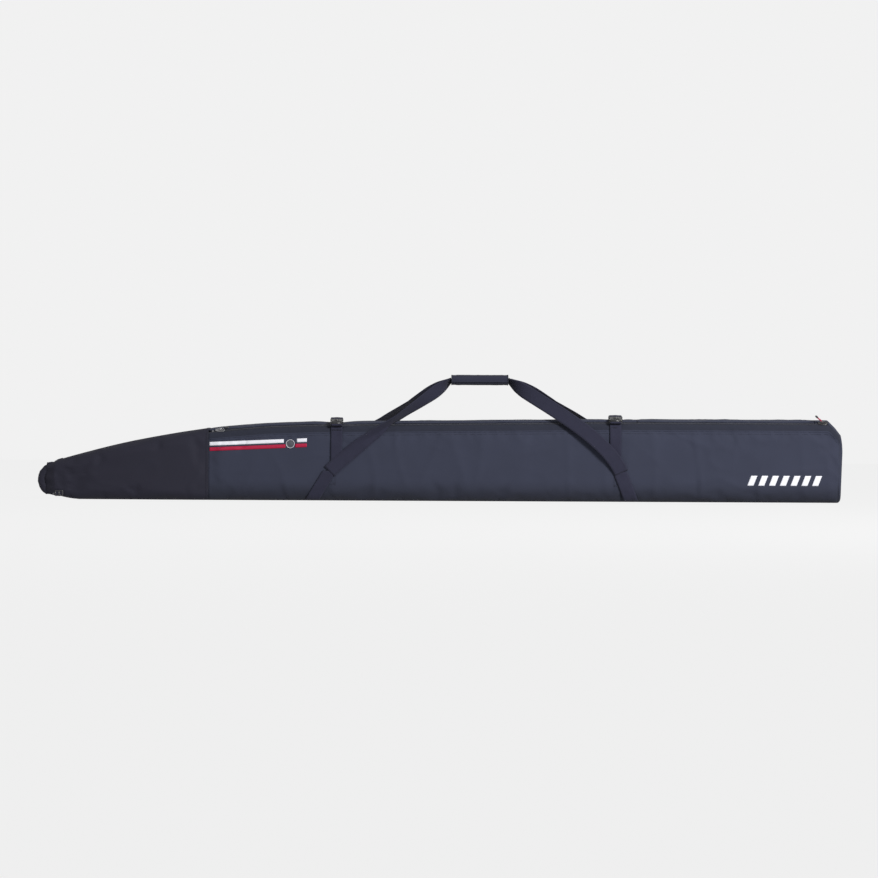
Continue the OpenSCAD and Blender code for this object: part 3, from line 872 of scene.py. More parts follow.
# ---- What lies on the shell ------------------------------------------------------

def surface_tree(objs):
    verts, polys = [], []
    for obj in objs:
        start = len(verts)
        verts += [v.co.copy() for v in obj.data.vertices]
        polys += [[start + i for i in p.vertices] for p in obj.data.polygons]
    return BVHTree.FromPolygons(verts, polys)


TREE = surface_tree([shell, top, flap, tail_top, tail_end, nose])


def height_on(x, s):
    """How far the finished shell stands out from the plain section, at x and s."""
    n = outward(x, s)
    base = place(x, s)
    hit = TREE.ray_cast(base + n * 0.02, -n, 0.035)[0]
    return (hit - base).dot(n) if hit else 0.0


def on_skin(x, s, lift):
    return place(x, s) + outward(x, s) * (height_on(x, s) + lift)


def laid(name, path, width, bridge):
    """Webbing laid on the shell along path, a list of (x, s). It bridges small dips: bridge says how often
    each row is lifted to the mean of its neighbours."""
    shares = [j / 8 - 0.5 for j in range(9)]
    heights = [[height_on(x + u * width, s) for u in shares] for x, s in path]
    for _ in range(bridge):
        old = [row[:] for row in heights]
        for i in range(1, len(path) - 1):
            for j in range(len(shares)):
                heights[i][j] = max(old[i][j], (old[i - 1][j] + old[i][j] + old[i + 1][j]) / 3)
    rows = []
    for (x, s), row in zip(path, heights):
        lifts = [(x + u * width, height + 0.35 * MM + WEB_T) for u, height in zip(shares, row)]
        rows.append([place(xj, s) + outward(xj, s) * lift for xj, lift in lifts])
    return solid(grid(name, rows, [M_WEB], flip=True), WEB_T)


def s_path(x0, x1, s0, s1, size=5 * MM):
    ss = section_steps(s0, s1, size)
    return [(lerp(x0, x1, i / (len(ss) - 1)), s) for i, s in enumerate(ss)]


def stitches(name, lines, length=3.0, gap=1.4, radius=0.32, mat=M_THREAD):
    """Rows of stitches, sized in millimetres. Each line is a list of (point, outward normal)."""
    length, gap, radius = length * MM, gap * MM, radius * MM
    verts, faces = [], []
    for line in lines:
        travelled = 0.0
        next_start = 0.0
        for (a, na), (b, _) in zip(line, line[1:]):
            span = (b - a).length
            if span < 1e-7:
                continue
            d = (b - a) / span
            while next_start < travelled + span:
                side = d.cross(na).normalized() * radius
                up = na * radius
                k = len(verts)
                for share, sunk, high in ((0, 1, 0.4), (0.25, 0, 1), (0.75, 0, 1), (1, 1, 0.4)):
                    p = a + d * (next_start - travelled + share * length)
                    verts += [p - side - up * sunk, p + side - up * sunk, p + up * high]
                faces.append((k, k + 1, k + 2))
                for r in range(3):
                    o = k + 3 * r
                    for i, j in ((0, 1), (1, 2), (2, 0)):
                        faces.append((o + i, o + i + 3, o + j + 3, o + j))
                faces.append((k + 11, k + 10, k + 9))
                next_start += length + gap
            travelled += span
    return link(name, verts, faces, [mat])


# ---- Padded shell: pieces ---------------------------------------------------------

for obj in (shell, top, flap, tail_top, tail_end, nose):
    apply_modifiers(obj)

piece(shell, "bag", "shell_fabric", "front_panel", "back_panel", "base_panel", "zip_band",
      "front_foam", "back_foam", "base_foam", "body_lining")
piece(top, "bag", "shell_fabric", "top_panel", "top_foam", "top_lining")
piece(flap, "flap", "shell_fabric", "tail_flap", "flap_foam", "flap_lining")
piece(tail_top, "bag", "shell_fabric", "tail_corner", "tail_yoke")
piece(tail_end, "bag", "shell_fabric", "tail_panel")
piece(nose, "bag", "nose_fabric", "nose_front_panel", "nose_top_panel", "nose_back_panel",
      "nose_base_panel", "nose_foam", "nose_lining", "nose_gather")
piece(roll, "bag", "nose_fabric", "nose_roll")


# ---- Zip ---------------------------------------------------------------------------

ZIP_X0 = SEAM_X + 6 * MM
ZIP_X1 = CORNER_X - 3 * MM
TEETH_DEPTH = 2.2 * MM

# One tooth in millimetres: how far each ring reaches, half its width and half its height. Then the outline
# of a ring, as parts of those halves.
TOOTH_RINGS = ((-0.9, 0.30, 0.45), (-0.3, 0.62, 0.75), (1.2, 0.44, 0.85), (2.9, 0.46, 0.75), (3.4, 0.2, 0.4))
TOOTH_ROUND = ((-1, 0), (-0.6, 0.85), (0.6, 0.85), (1, 0), (0.6, -0.7), (-0.6, -0.7))


def zip_tape(name, x0, x1, s0, s1):
    rows = []
    for x in steps(x0, x1, 8 * MM):
        row = []
        for i in range(5):
            s = lerp(s0, s1, i / 4)
            sag = 0.2 * MM * wobble(x * 30, s * 9, 1)
            row.append(lean(place(x, s, 2.0 * MM + sag)))
        rows.append(row)
    return solid(grid(name, rows, [M_TAPE], flip=True), 0.6 * MM)


def zip_coil(name, x0, x1, side):
    """One side's teeth: a row of rounded loops that reach just past the middle. side is -1 or 1."""
    pitch = 1.7 * MM
    first = ceil(x0 / pitch)
    verts, faces = [], []
    for k in range(first, int(x1 / pitch)):
        x = (k + (0.5 if side > 0 else 0)) * pitch
        out = outward(x, ZIP_S)
        across = (place(x, 2.52) - place(x, 2.48)).normalized() * side
        ahead = out.cross(across).normalized()
        mid = place(x, ZIP_S, TEETH_DEPTH)
        start = len(verts)
        for reach, half, high in TOOTH_RINGS:
            centre = mid + across * reach * MM
            for u, v in TOOTH_ROUND:
                verts.append(centre + ahead * (u * half * MM) + out * (v * high * MM))
        for r in range(4):
            for c in range(6):
                a, b = start + 6 * r + c, start + 6 * r + (c + 1) % 6
                faces.append((a, b, b + 6, a + 6))
        faces.append(tuple(range(start, start + 6))[::-1])
        faces.append(tuple(range(start + 24, start + 30)))
    return link(name, verts, faces, [M_TEETH])


def tape_stitches(x0, x1, s):
    lines = [[(place(x, s, 1.8 * MM), outward(x, s)) for x in steps(x0, x1, 20 * MM)]]
    return stitches("tape_stitch", lines, 2.2, 0.9, 0.25, M_TEETH)


tapes = [zip_tape("tape", ZIP_X0, ZIP_X1, ZIP_S - TAPE_OUT, ZIP_S - TAPE_IN),
         zip_tape("tape", ZIP_X0, TOP_X1, ZIP_S + TAPE_IN, ZIP_S + TAPE_OUT),
         zip_tape("tape", YOKE_X, ZIP_X1, ZIP_S + TAPE_IN, ZIP_S + TAPE_OUT)]
piece(join("zip_tape", tapes), "bag", "zip_tape", "zip_tapes")
flap_tape = zip_tape("tape", FLAP_X0, FLAP_X1, ZIP_S + TAPE_IN, ZIP_S + TAPE_OUT)
piece(join("flap_tape", [flap_tape]), "flap", "zip_tape", "flap_zip_tape")
coils = [zip_coil("coil", ZIP_X0 + 3 * MM, ZIP_X1 - 2 * MM, -1),
         zip_coil("coil", ZIP_X0 + 3 * MM, TOP_X1, 1),
         zip_coil("coil", YOKE_X, ZIP_X1 - 2 * MM, 1),
         tape_stitches(ZIP_X0, ZIP_X1, ZIP_S - TAPE_SEW),
         tape_stitches(ZIP_X0, TOP_X1, ZIP_S + TAPE_SEW)]
piece(join("zip_coil", coils), "bag", "zip_teeth", "zip_teeth")
flap_coils = [zip_coil("coil", FLAP_X0, FLAP_X1, 1), tape_stitches(FLAP_X0, FLAP_X1, ZIP_S + TAPE_SEW)]
piece(join("flap_coil", flap_coils), "flap", "zip_teeth", "flap_zip_teeth")


def zip_frame(x):
    """Axes on the zip at x: X along it, Z out of it."""
    ahead = (place(x + 0.01, ZIP_S) - place(x - 0.01, ZIP_S)).normalized()
    out = outward(x, ZIP_S)
    side = out.cross(ahead).normalized()
    out = ahead.cross(side)
    m = Matrix((ahead, side, out)).transposed().to_4x4()
    m.translation = place(x, ZIP_S)
    return m


def slider_outline(grow=1.0):
    half = [(-12.4, 3.2), (-8.5, 4.6), (0, 5.4), (6, 5.9), (10.5, 5.2), (12.4, 3.0)]
    ring = [(x, -y) for x, y in half] + half[::-1]
    return [(x * grow, y * grow) for x, y in ring]


def slider_parts(mat):
    parts = [plate("slider_upper", [slider_outline()], 0.5, 2.0, mat),
             plate("slider_lower", [slider_outline(0.95)], -4.6, -3.2, mat, 0.4),
             plate("slider_core", [rounded(10, 1.2, 0.5, 3)], -3.4, 0.7, mat, 0.1),
             plate("slider_panel", [rounded(4.5, 5, 1.2, 9)], 1.8, 2.3, mat, 0.2)]
    arch = []
    for i in range(15):
        a = pi * i / 14
        arch.append(mm(-0.6 - 4.6 * cos(a), 0, 1.5 + 3.5 * min(1, 1.4 * sin(a))))
    parts.append(tube("slider_bail", arch, lambda i: 1.05 - 0.25 * sin(pi * i / 14), mat))
    for side in (-1, 1):
        edge = [mm(x, side * y, 0.1) for x, y in ((-8.5, 4.7), (0, 5.5), (6, 6.0), (10.3, 5.4))]
        parts.append(tube("slider_rim", edge, 0.55, mat, 8))
    return parts


def pull_parts(cord_len, link_mat, cord_mat):
    """A pull that points along -X: a wire link, a doubled cord and a moulded tip."""
    ring = [mm(-4.6 + 4.6 * cos(a), 3.6 * sin(a), 0.5 * cos(2 * a)) for a in circle(24)]
    parts = [tube("pull_link", ring, 0.75, link_mat, closed=True)]
    start, end = -8.2, -9.4 - cord_len
    for side in (-1, 1):
        path = []
        for i in range(11):
            u = i / 10
            y = side * (0.9 + 0.5 * sin(pi * min(1, u * 1.1)))
            path.append(mm(lerp(start, end - 2, u), y, 0.35 * sin(u * 7 + side)))
        parts.append(tube("pull_cord", path, 1.15, cord_mat))
    half_turn = [pi * i / 8 for i in range(9)]
    knot = [mm(-7.9 + 1.1 * sin(a), 1.9 * cos(a), 0) for a in half_turn]
    parts.append(tube("pull_loop", knot, 1.1, cord_mat))
    tip = ((0.0, 1.9), (0.5, 2.5), (2.0, 2.65), (2.4, 2.2), (3.0, 2.2), (3.4, 2.6), (5.6, 2.5),
           (7.6, 2.2), (8.7, 1.5), (9.0, 0.5))
    path = [mm(end - d, 0, 0) for d, _ in tip]
    parts.append(tube("pull_tip", path, lambda i: tip[i][1], M_PLASTIC, 14))
    return parts


def make_slider(name, x, slot, mat, node):
    return piece(moved(join(name, slider_parts(mat)), zip_frame(x)), name, slot, node)


def make_pull(name, x, tilt, parts, node, backwards=False):
    m = zip_frame(x) @ Matrix.Translation(mm(0, 0, 3.4))
    if backwards:
        m = m @ Matrix.Rotation(pi, 4, "Z")
    obj = moved(join(name, parts), m @ Matrix.Rotation(tilt, 4, "Y"))
    return piece(obj, name, "pull_cord", node)


make_slider("tail_zip_slider", TAIL_SLIDER_X, "slider_black", M_BLACK, "tail_slider")
make_pull("tail_zip_pull", TAIL_SLIDER_X, TAIL_PULL_TILT, pull_parts(14, M_BLACK, M_CORD), "tail_pull")
make_slider("nose_zip_slider", NOSE_SLIDER_X, "slider_silver", M_SILVER, "nose_slider")
make_pull("nose_zip_pull", NOSE_SLIDER_X, NOSE_PULL_TILT, pull_parts(6, M_SILVER, M_TAPE), "nose_pull", True)


def make_stops():
    parts = []
    for x in (ZIP_X0 + 6 * MM, ZIP_X1 - 4 * MM):
        stop = plate("stop", [rounded(3.4, 6, 0.8)], -3.4, -0.9, M_SILVER, 0.4)
        parts.append(moved(stop, zip_frame(x)))
    piece(join("zip_end_stops", parts), "bag", "slider_silver", "zip_stops")


make_stops()


# ---- Sewn webbing and compression straps ---------------------------------------------

def across_ribbon(centre, across, normal, width, cols=9, cup=0.0):
    """One row of a ribbon: points across it, cupped a little at its edges."""
    row = []
    for j in range(cols):
        u = 2 * j / (cols - 1) - 1
        row.append(centre + across * (u * width / 2) + normal * (cup * (1 - u * u)))
    return row


def box_stitch(x, half, s0, s1, lift):
    """The square with a cross that sews a strap's end down, half metres to each side of x."""
    a, b, c, d = (x - half, s0), (x + half, s0), (x + half, s1), (x - half, s1)
    lines = []
    for (xa, sa), (xb, sb) in ((a, b), (b, c), (c, d), (d, a), (a, c), (d, b)):
        spots = [(lerp(xa, xb, i / 10), lerp(sa, sb, i / 10)) for i in range(11)]
        lines.append([(on_skin(x_at, s, lift), outward(x_at, s)) for x_at, s in spots])
    return lines


def edge_lines(path, width, lift):
    """Two lines of stitches, just inside both edges of a laid strap."""
    return [[(on_skin(x + side * (width / 2 - 2.2 * MM), s, lift), outward(x, s)) for x, s in path]
            for side in (-1, 1)]


def sewn_webbing(x_low, x_high, back=False):
    """A carrying strap's sewn end, from the base seam up the front or the back."""
    path = s_path(x_low, x_high, 0.30, s_at(x_high, SEWN_TOP_Z))
    if back:
        path = [(x, 7 - s) for x, s in path]
    x, s = path[-1]
    ahead = -1 if back else 1
    lines = edge_lines(path, CARRY_W, WEB_T + 0.45 * MM)
    lines += box_stitch(x, CARRY_W / 2 - 4 * MM, s - 0.05 * ahead, s - 0.22 * ahead, WEB_T + 0.5 * MM)
    return [laid("web", path, CARRY_W, 6), stitches("web_thread", lines)]


front_web = sewn_webbing(-0.330, -0.283) + sewn_webbing(0.501, 0.470)
piece(join("front_webbing_sewn", front_web), "bag", "webbing", "front_webbing")
back_web = sewn_webbing(-0.345, -0.298, True) + sewn_webbing(0.490, 0.521, True)
piece(join("back_webbing_sewn", back_web), "bag", "webbing", "back_webbing")


def buckle_matrix(x):
    """The buckles lie on the front top edge, tipped forwards."""
    middle = Vector((x, -54 * MM, top_at(x) + 1.3 * MM))
    return Matrix.Translation(middle) @ Matrix.Rotation(radians(20), 4, "X")


def directions(points):
    """The way's direction at each of its points."""
    ends = points[:1] + points + points[-1:]
    return [(b - a).normalized() for a, b in zip(ends, ends[2:])]


def free_ribbon(name, centres, hint, width, thickness=WEB_T):
    """A ribbon through space, its width along X and its outer side towards hint."""
    rows = []
    for c, ahead in zip(centres, directions(centres)):
        n = X_AXIS.cross(ahead).normalized()
        rows.append(across_ribbon(c, X_AXIS, n if n.dot(hint) > 0 else -n, width))
    return solid(grid(name, rows, [M_WEB], flip=True), thickness, 0.0)


def curve_through(points, n):
    """A smooth path through points, with n steps between each two."""
    out = []
    pts = points[:1] + points + points[-1:]
    for p0, p1, p2, p3 in zip(pts, pts[1:], pts[2:], pts[3:]):
        for t in (k / n for k in range(n)):
            out.append(0.5 * ((2 * p1) + (p2 - p0) * t + (2 * p0 - 5 * p1 + 4 * p2 - p3) * t * t
                              + (3 * p1 - p0 - 3 * p2 + p3) * t ** 3))
    return out + points[-1:]


def strap_low(name, x, z0, node):
    """The front part of a compression strap. It is sewn on below, and loops round the socket's bar."""
    m = buckle_matrix(x)
    path = s_path(x, x, s_at(x, z0), 2.40, 4 * MM)
    front = laid(name, path, STRAP_W, 5)
    up = [on_skin(x, s, 1.3 * MM) for s in (2.30, 2.38)]
    bar_way = ((-19.5, -5.5), (-18.8, -1.2), (-16.8, 1.2), (-14.9, -0.8), (-15.0, -4.6))
    round_bar = [m @ mm(0, y, z) for y, z in bar_way]
    down = [on_skin(x, s, lift * MM) for s, lift in ((2.52, 2.6), (2.40, 3.2), (2.24, 2.9), (2.08, 2.9))]
    centres = curve_through(up + round_bar + down, 5)
    loop = free_ribbon(name + "_loop", centres, Vector((0, -1, 1)), STRAP_W - 1.5 * MM)
    back = laid(name + "_back", s_path(x, x, 5.08, 5.6), STRAP_W, 3)
    s0 = path[0][1]
    half = STRAP_W / 2 - 3.5 * MM
    lift = WEB_T + 0.45 * MM
    lines = edge_lines(path[:-2], STRAP_W, lift)
    lines += box_stitch(x, half, s0 + 0.03, s0 + 0.19, lift) + box_stitch(x, half, 5.57, 5.42, lift)
    tack = steps(-12 * MM, 12 * MM, 6 * MM)
    for s in (2.10, 2.12, 2.14):
        lines.append([(on_skin(x + dx, s, 4.1 * MM), outward(x, 2.1)) for dx in tack])
    parts = [front, loop, back, stitches(name + "_thread", lines)]
    piece(join(name, parts), "bag", "webbing", node)


def strap_top(name, x, node):
    """The part over the top, from the back seam to the clip, with a loose folded tail end."""
    m = buckle_matrix(x)
    over = [on_skin(x, s, 1.2 * MM) for _, s in s_path(x, x, 2.86, 5.05)[:2:-1]]
    clip_way = ((22.5, -2.6), (18.5, -3.2), (15.9, 0.4), (12.5, 4.4), (8.8, 3.2), (7.4, -0.6))
    in_clip = [m @ mm(0, y, z) for y, z in clip_way]
    way = curve_through(over[:-1], 2) + curve_through(over[-1:] + in_clip, 5)
    main = free_ribbon(name, way, Vector((0, -0.3, 1)), STRAP_W)
    tail = [m @ mm(0, 7.8, -1.6), m @ mm(0, 10.5, -5.2)]
    tail += [on_skin(x, s, 0.9 * MM) for s in (3.24, 3.40, 3.56)]
    tail_way = curve_through(tail, 5)
    under = free_ribbon(name + "_tail", tail_way, Z_AXIS, STRAP_W - 1 * MM, WEB_T * 0.6)
    obj = piece(join(name, [main, under]), None, "webbing", node)
    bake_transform(obj)


for side, x, sewn_z in (("left", LEFT_X, 0.095), ("right", RIGHT_X, 0.105)):
    strap_low(side + "_front_strap", x, sewn_z, side + "_strap")
for side, x in (("left", LEFT_X), ("right", RIGHT_X)):
    strap_top(side + "_over_strap", x, side + "_top_strap")


# ---- Buckles ---------------------------------------------------------------------------

def mirrored(h, half):
    """A closed outline from its right half, front to back. Its x values are counted from h inwards."""
    right = [(h - inward, y) for inward, y in half]
    return right + [(-x, y) for x, y in reversed(right)]


def slot_hole(w, y, h):
    return rounded(w, h, 1.1, 0, y, 3)


def bar_across(name, half, middle, end, radius, sides=10):
    """A rod along X. middle and end are (y, z), in millimetres."""
    points = [mm(-half, *end), mm(0, *middle), mm(half, *end)]
    return tube(name, points, radius, M_PLASTIC, sides)


def make_socket(x, w, node, name):
    """The socket: two shells with a hollow between them, side windows, and a bar for its strap."""
    h = w / 2
    shell = mirrored(h, ((3.5, -20.0), (1.6, -19.0), (0.9, -16.5), (0.6, -12.5), (2.6, -10.6), (3.9, -7.2),
                         (3.4, -3.8), (1.2, -1.6), (0.2, -0.2), (0.6, 1.6), (2.4, 2.2), (h * 0.55, 2.2),
                         (h * 0.7, 1.1)))
    wall = mirrored(h, ((4.0, -19.4), (2.2, -18.4), (1.5, -16.2), (1.6, -13.0), (6.5, -12.6), (6.5, -13.8)))
    slot = slot_hole(w - 8, -15.7, 3.6)
    parts = [plate("socket_upper", [shell, slot], 2.2, 4.0, M_PLASTIC, 0.7),
             plate("socket_lower", [shell, slot], -4.0, -2.2, M_PLASTIC, 0.6),
             plate("socket_walls", [wall, slot], -2.6, 2.6, M_PLASTIC, 0.3),
             bar_across("socket_bar", h - 3, (-18.3, 0.1), (-18.3, 0), 1.9, 12),
             plate("socket_panel", [rounded(w * 0.46, 7.5, 2.2, 0, -6.6)], 3.6, 4.5, M_PLASTIC, 0.35)]
    for side in (-1, 1):
        post = rounded(1.7, 4.6, 0.7, side * (h - 1.9), -0.2, 4)
        parts.append(plate("socket_post", [post], -2.7, 2.7, M_PLASTIC, 0.3))
    for y in (-8.6, -6.6, -4.6):
        parts.append(bar_across("socket_ridge", w * 0.16, (y, 4.62), (y, 4.5), 0.42, 8))
    piece(moved(join(name, parts), buckle_matrix(x)), "bag", "buckle_plastic", node)


def make_clip(x, w, body, node, name):
    """The clip: a base with a slot, a ladder bar and a lifting lip, two sprung prongs and a tongue."""
    h = w / 2
    base = mirrored(h, ((6, 2.6), (1.4, 2.7), (0.2, 4.0), (0.2, 9), (0.7, 14.5), (1.8, 18.6), (4.5, 20.0)))
    slots = [slot_hole(w - 8, 8.4, 2.8), slot_hole(w - 8, 15.4, 3.2)]
    neck = mirrored(h, ((3.4, 2.0), (2.2, 2.8), (2.2, 5.4), (3.4, 6.2)))
    both_arms = mirrored(h, ((8.6, 3.0), (5.2, 3.0), (4.6, -1.5), (4.2, -3.8), (2.3, -5.6), (1.9, -8.4),
                             (3.0, -10.8), (5.2, -11.9), (6.9, -11.4), (6.4, -8.6), (7.0, -4)))
    arms = both_arms[:len(both_arms) // 2], both_arms[len(both_arms) // 2:]
    parts = [plate("clip_base", [base] + slots, -2.6, 2.4, M_PLASTIC, 0.9),
             plate("clip_neck", [neck], -4.0, 4.0, M_PLASTIC, 0.8),
             bar_across("clip_lip", h - 3.5, (19.2, 2.0), (18.6, 1.2), 1.5),
             plate("clip_tongue", [rounded(5, 14, 1.8, 0, -4)], -1.3, 1.3, M_PLASTIC)]
    for outline in arms:
        parts.append(plate("clip_prong", [outline], -1.8, 1.8, M_PLASTIC))
    piece(moved(join(name, parts), buckle_matrix(x)), body, "buckle_plastic", node)


for side, x, width in (("left", LEFT_X, 34), ("right", RIGHT_X, 37)):
    make_socket(x, width, side + "_socket", side + "_buckle_socket")
    make_clip(x, width, side + "_buckle_clip", side + "_clip", side + "_buckle_prongs")


# ---- Carrying straps and grip ----------------------------------------------------------

GRIP_X0, GRIP_X1 = grip_lo.x, grip_hi.x
GRIP_Z = (grip_lo.z + grip_hi.z) / 2
GRIP_HALF = (grip_hi.y - grip_lo.y) / 2
GRIP_H = (grip_hi.z - grip_lo.z) / 2
WEB_Z = 1.05 * MM


def bezier(p, t):
    u = 1 - t
    return u ** 3 * p[0] + 3 * u * u * t * p[1] + 3 * u * t * t * p[2] + t ** 3 * p[3]


def bezier_dir(p, t):
    u = 1 - t
    return (u * u * (p[1] - p[0]) + 2 * u * t * (p[2] - p[1]) + t * t * (p[3] - p[2])).normalized()


def keep_outside(p, room):
    """Moves a point that is in or near the shell out to room above its surface."""
    side = -1 if p.y < 0 else 1
    y, h = abs(p.y), top_at(p.x)
    if p.z < 0.03 or p.z > h + 0.03 or y > HALF + 0.03:
        return p
    if p.z < h - TOP_R:
        s = s_at(p.x, p.z)
        s = s if side < 0 else 7 - s
        y = max(y, HALF + height_on(p.x, s) + room)
        return Vector((p.x, side * y, p.z))
    if y < HALF - TOP_R:
        s = 3 + (side * y + HALF - TOP_R) / (2 * (HALF - TOP_R))
        return Vector((p.x, p.y, max(p.z, h + height_on(p.x, s) + room)))
    v = Vector((0, y - (HALF - TOP_R), p.z - (h - TOP_R)))
    a = atan2(v.z, v.y) / (pi / 2)
    s = 2 + a if side < 0 else 5 - a
    need = TOP_R + height_on(p.x, s) + room
    v *= max(1.0, need / max(v.length, 1e-6))
    return Vector((p.x, side * (HALF - TOP_R + v.y), h - TOP_R + v.z))


def carry_strap(name, route, node, turns):
    """A free strap. It lies flat in the grip, turns to face front or back, and lies on its sewn end.
    turns gives the degrees that it is turned further, along its way."""
    p = [mm(*q) for q in route]
    front = p[1].y < 0
    end_s = s_at(p[3].x, p[3].z)
    p[3].y = on_skin(p[3].x, end_s if front else 7 - end_s, 3.4 * MM).y
    step_out = (p[0] - Vector((GRIP_X0, p[0].y, p[0].z))).normalized() * 0.4 * MM
    n = 70
    rows = []
    for i in range(-4, n + 1):
        t = max(0, i) / n
        d = bezier_dir(p, t)
        side = d.cross(Y_AXIS).normalized()
        flat = -side if side.z > 0 else side
        wide = Y_AXIS.lerp(flat, smooth((t + 0.07) / 0.25)).normalized()
        w = (wide - smooth(t / 0.12) * wide.dot(d) * d).normalized()
        w = Matrix.Rotation(radians(along(turns, t)), 3, d) @ w
        normal = d.cross(w).normalized()
        c = bezier(p, t) if i >= 0 else p[0] - step_out * i
        wave = 0.9 * MM * wobble(t * 9, len(name), 1) * sin(pi * t)
        cup = 0.9 * MM * wobble(t * 5, 7, len(name)) * sin(pi * t)
        row = across_ribbon(c + normal * wave, w, normal, CARRY_W, 11, cup)
        rows.append([keep_outside(q, 2.9 * MM) for q in row])
    band = solid(grid(name, rows, [M_WEB]), WEB_T, 0.0)
    lines = []
    for col in (1, 9):
        line = []
        for i in range(4, len(rows) - 1):
            d = rows[i + 1][col] - rows[i][col]
            n_out = d.cross(rows[i][10] - rows[i][0]).normalized()
            if not (n_out.y < 0) == front and not (abs(n_out.y) < 0.2 and n_out.z > 0):
                n_out = -n_out
            line.append((rows[i][col] + n_out * (WEB_T / 2 + 0.1 * MM), n_out))
        lines.append(line)
    obj = join(name, [band, stitches(name + "_thread", lines)])
    piece(obj, None, "webbing", node)
    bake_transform(obj)


# Each route is a Bezier curve in millimetres: from the grip's end to the top of the sewn webbing.
LEFT_END, RIGHT_END = GRIP_X0 / MM - 1, GRIP_X1 / MM + 1
GRIP_LOW, GRIP_HIGH = (GRIP_Z - WEB_Z) / MM, (GRIP_Z + WEB_Z) / MM
FRONT_DIP, BACK_DIP = GRIP_Z / MM - 68, GRIP_Z / MM - 56
SIDE_Y = (HALF + 3.6 * MM) / MM

carry_strap("front_left_handle_strap",
            ((LEFT_END, -3, GRIP_LOW), (-55, -84, FRONT_DIP), (-195, -SIDE_Y - 2, 164), (-284, -SIDE_Y, 76)),
            "front_left_carry",
            ((0, 0), (0.10, -24), (0.22, -40), (0.34, -56), (0.46, -68), (0.62, -42), (0.85, 0), (1, 0)))
carry_strap("front_right_handle_strap",
            ((RIGHT_END, -3, GRIP_LOW), (275, -84, FRONT_DIP), (432, -SIDE_Y - 30, 170), (474, -SIDE_Y, 76)),
            "front_right_carry",
            ((0, 0), (0.10, 14), (0.24, 0), (1, 0)))
carry_strap("back_left_handle_strap",
            ((LEFT_END, 3, GRIP_HIGH), (-75, 74, BACK_DIP), (-235, SIDE_Y + 2, 165), (-299, SIDE_Y, 76)),
            "back_left_carry",
            ((0, 0), (0.12, -36), (0.30, -70), (0.50, -58), (0.75, -12), (0.90, 0), (1, 0)))
carry_strap("back_right_handle_strap",
            ((RIGHT_END, 3, GRIP_HIGH), (305, 74, BACK_DIP), (486, SIDE_Y + 2, 172), (494, SIDE_Y, 76)),
            "back_right_carry",
            ((0, 0), (0.12, 36), (0.30, 72), (0.50, 66), (0.75, 16), (0.90, 0), (1, 0)))


def grip_webbing():
    bands = []
    for k in (-1, 1):
        rows = []
        for x in steps(GRIP_X0 + 0.3 * MM, GRIP_X1 - 0.3 * MM, 6 * MM):
            z = GRIP_Z + k * WEB_Z + 0.12 * MM * wobble(x * 40, k, 1)
            rows.append(across_ribbon(Vector((x, 0, z)), Y_AXIS, Z_AXIS, CARRY_W))
        bands.append(solid(grid("grip_band", rows, [M_WEB]), WEB_T, 0.0))
    piece(join("grip_inner_webbing", bands), "carry_grip", "webbing", "grip_webbing")


grip_webbing()

LIP_ROWS = 5                        # rows of the cover's lip, which laps over the base at the front
ARC_STEPS = 26
ROUNDNESS = 0.62                    # 1 would make the section an ellipse, 0 a rectangle
SPLIT = 0.75 * MM                   # half of the gap between the cover and the base


def grip_section(x, upper):
    """Outer and inner points of half of the grip's section, from the front edge to the back edge."""
    sign = 1 if upper else -1
    high = GRIP_H - SPLIT
    u = min(x - GRIP_X0, GRIP_X1 - x)
    swell = 1 - 0.10 * exp(-u / (3.0 * MM)) - 0.05 * exp(-abs(u - 9 * MM) / (2.2 * MM))
    outer, inner = [], []
    for i in range(LIP_ROWS if upper else 0):
        a = lerp(0.34, 0.03, i / (LIP_ROWS - 1))
        edge = Vector((0, -cos(a) ** ROUNDNESS * GRIP_HALF, -sin(a) ** ROUNDNESS * high))
        middle = Vector((x, 0, GRIP_Z))
        outer.append(middle + edge * swell)
        inner.append(middle + edge * (swell - 1.1 * MM / GRIP_H))
    for i in range(ARC_STEPS + 1):
        a = pi * i / ARC_STEPS
        ca, sa = cos(a), sin(a)
        puff = 0.35 * wobble(x * 60, a * 1.7, sign)
        puff += 0.5 * fold(x * 40, a * 0.6, 3 + sign, 3) - 0.4
        grow = swell + (puff * MM / GRIP_H) * (1 - abs(ca) ** 6)
        under_lip = not upper and i <= 3
        if under_lip:
            grow -= 1.6 * MM / GRIP_H
        y = -copysign(abs(ca) ** ROUNDNESS, ca) * GRIP_HALF * min(1.0, grow + (0 if under_lip else 0.02))
        z = abs(sa) ** ROUNDNESS * high * min(1.0, grow)
        outer.append(Vector((x, y, GRIP_Z + sign * (SPLIT + z))))
        k = 2 * i / ARC_STEPS - 1
        flat = 2.2 * MM * (1 - abs(k) ** 8)
        inner.append(Vector((x, k * (GRIP_HALF - 1.2 * MM), GRIP_Z + sign * max(SPLIT + 0.1 * MM, flat))))
    return outer, inner


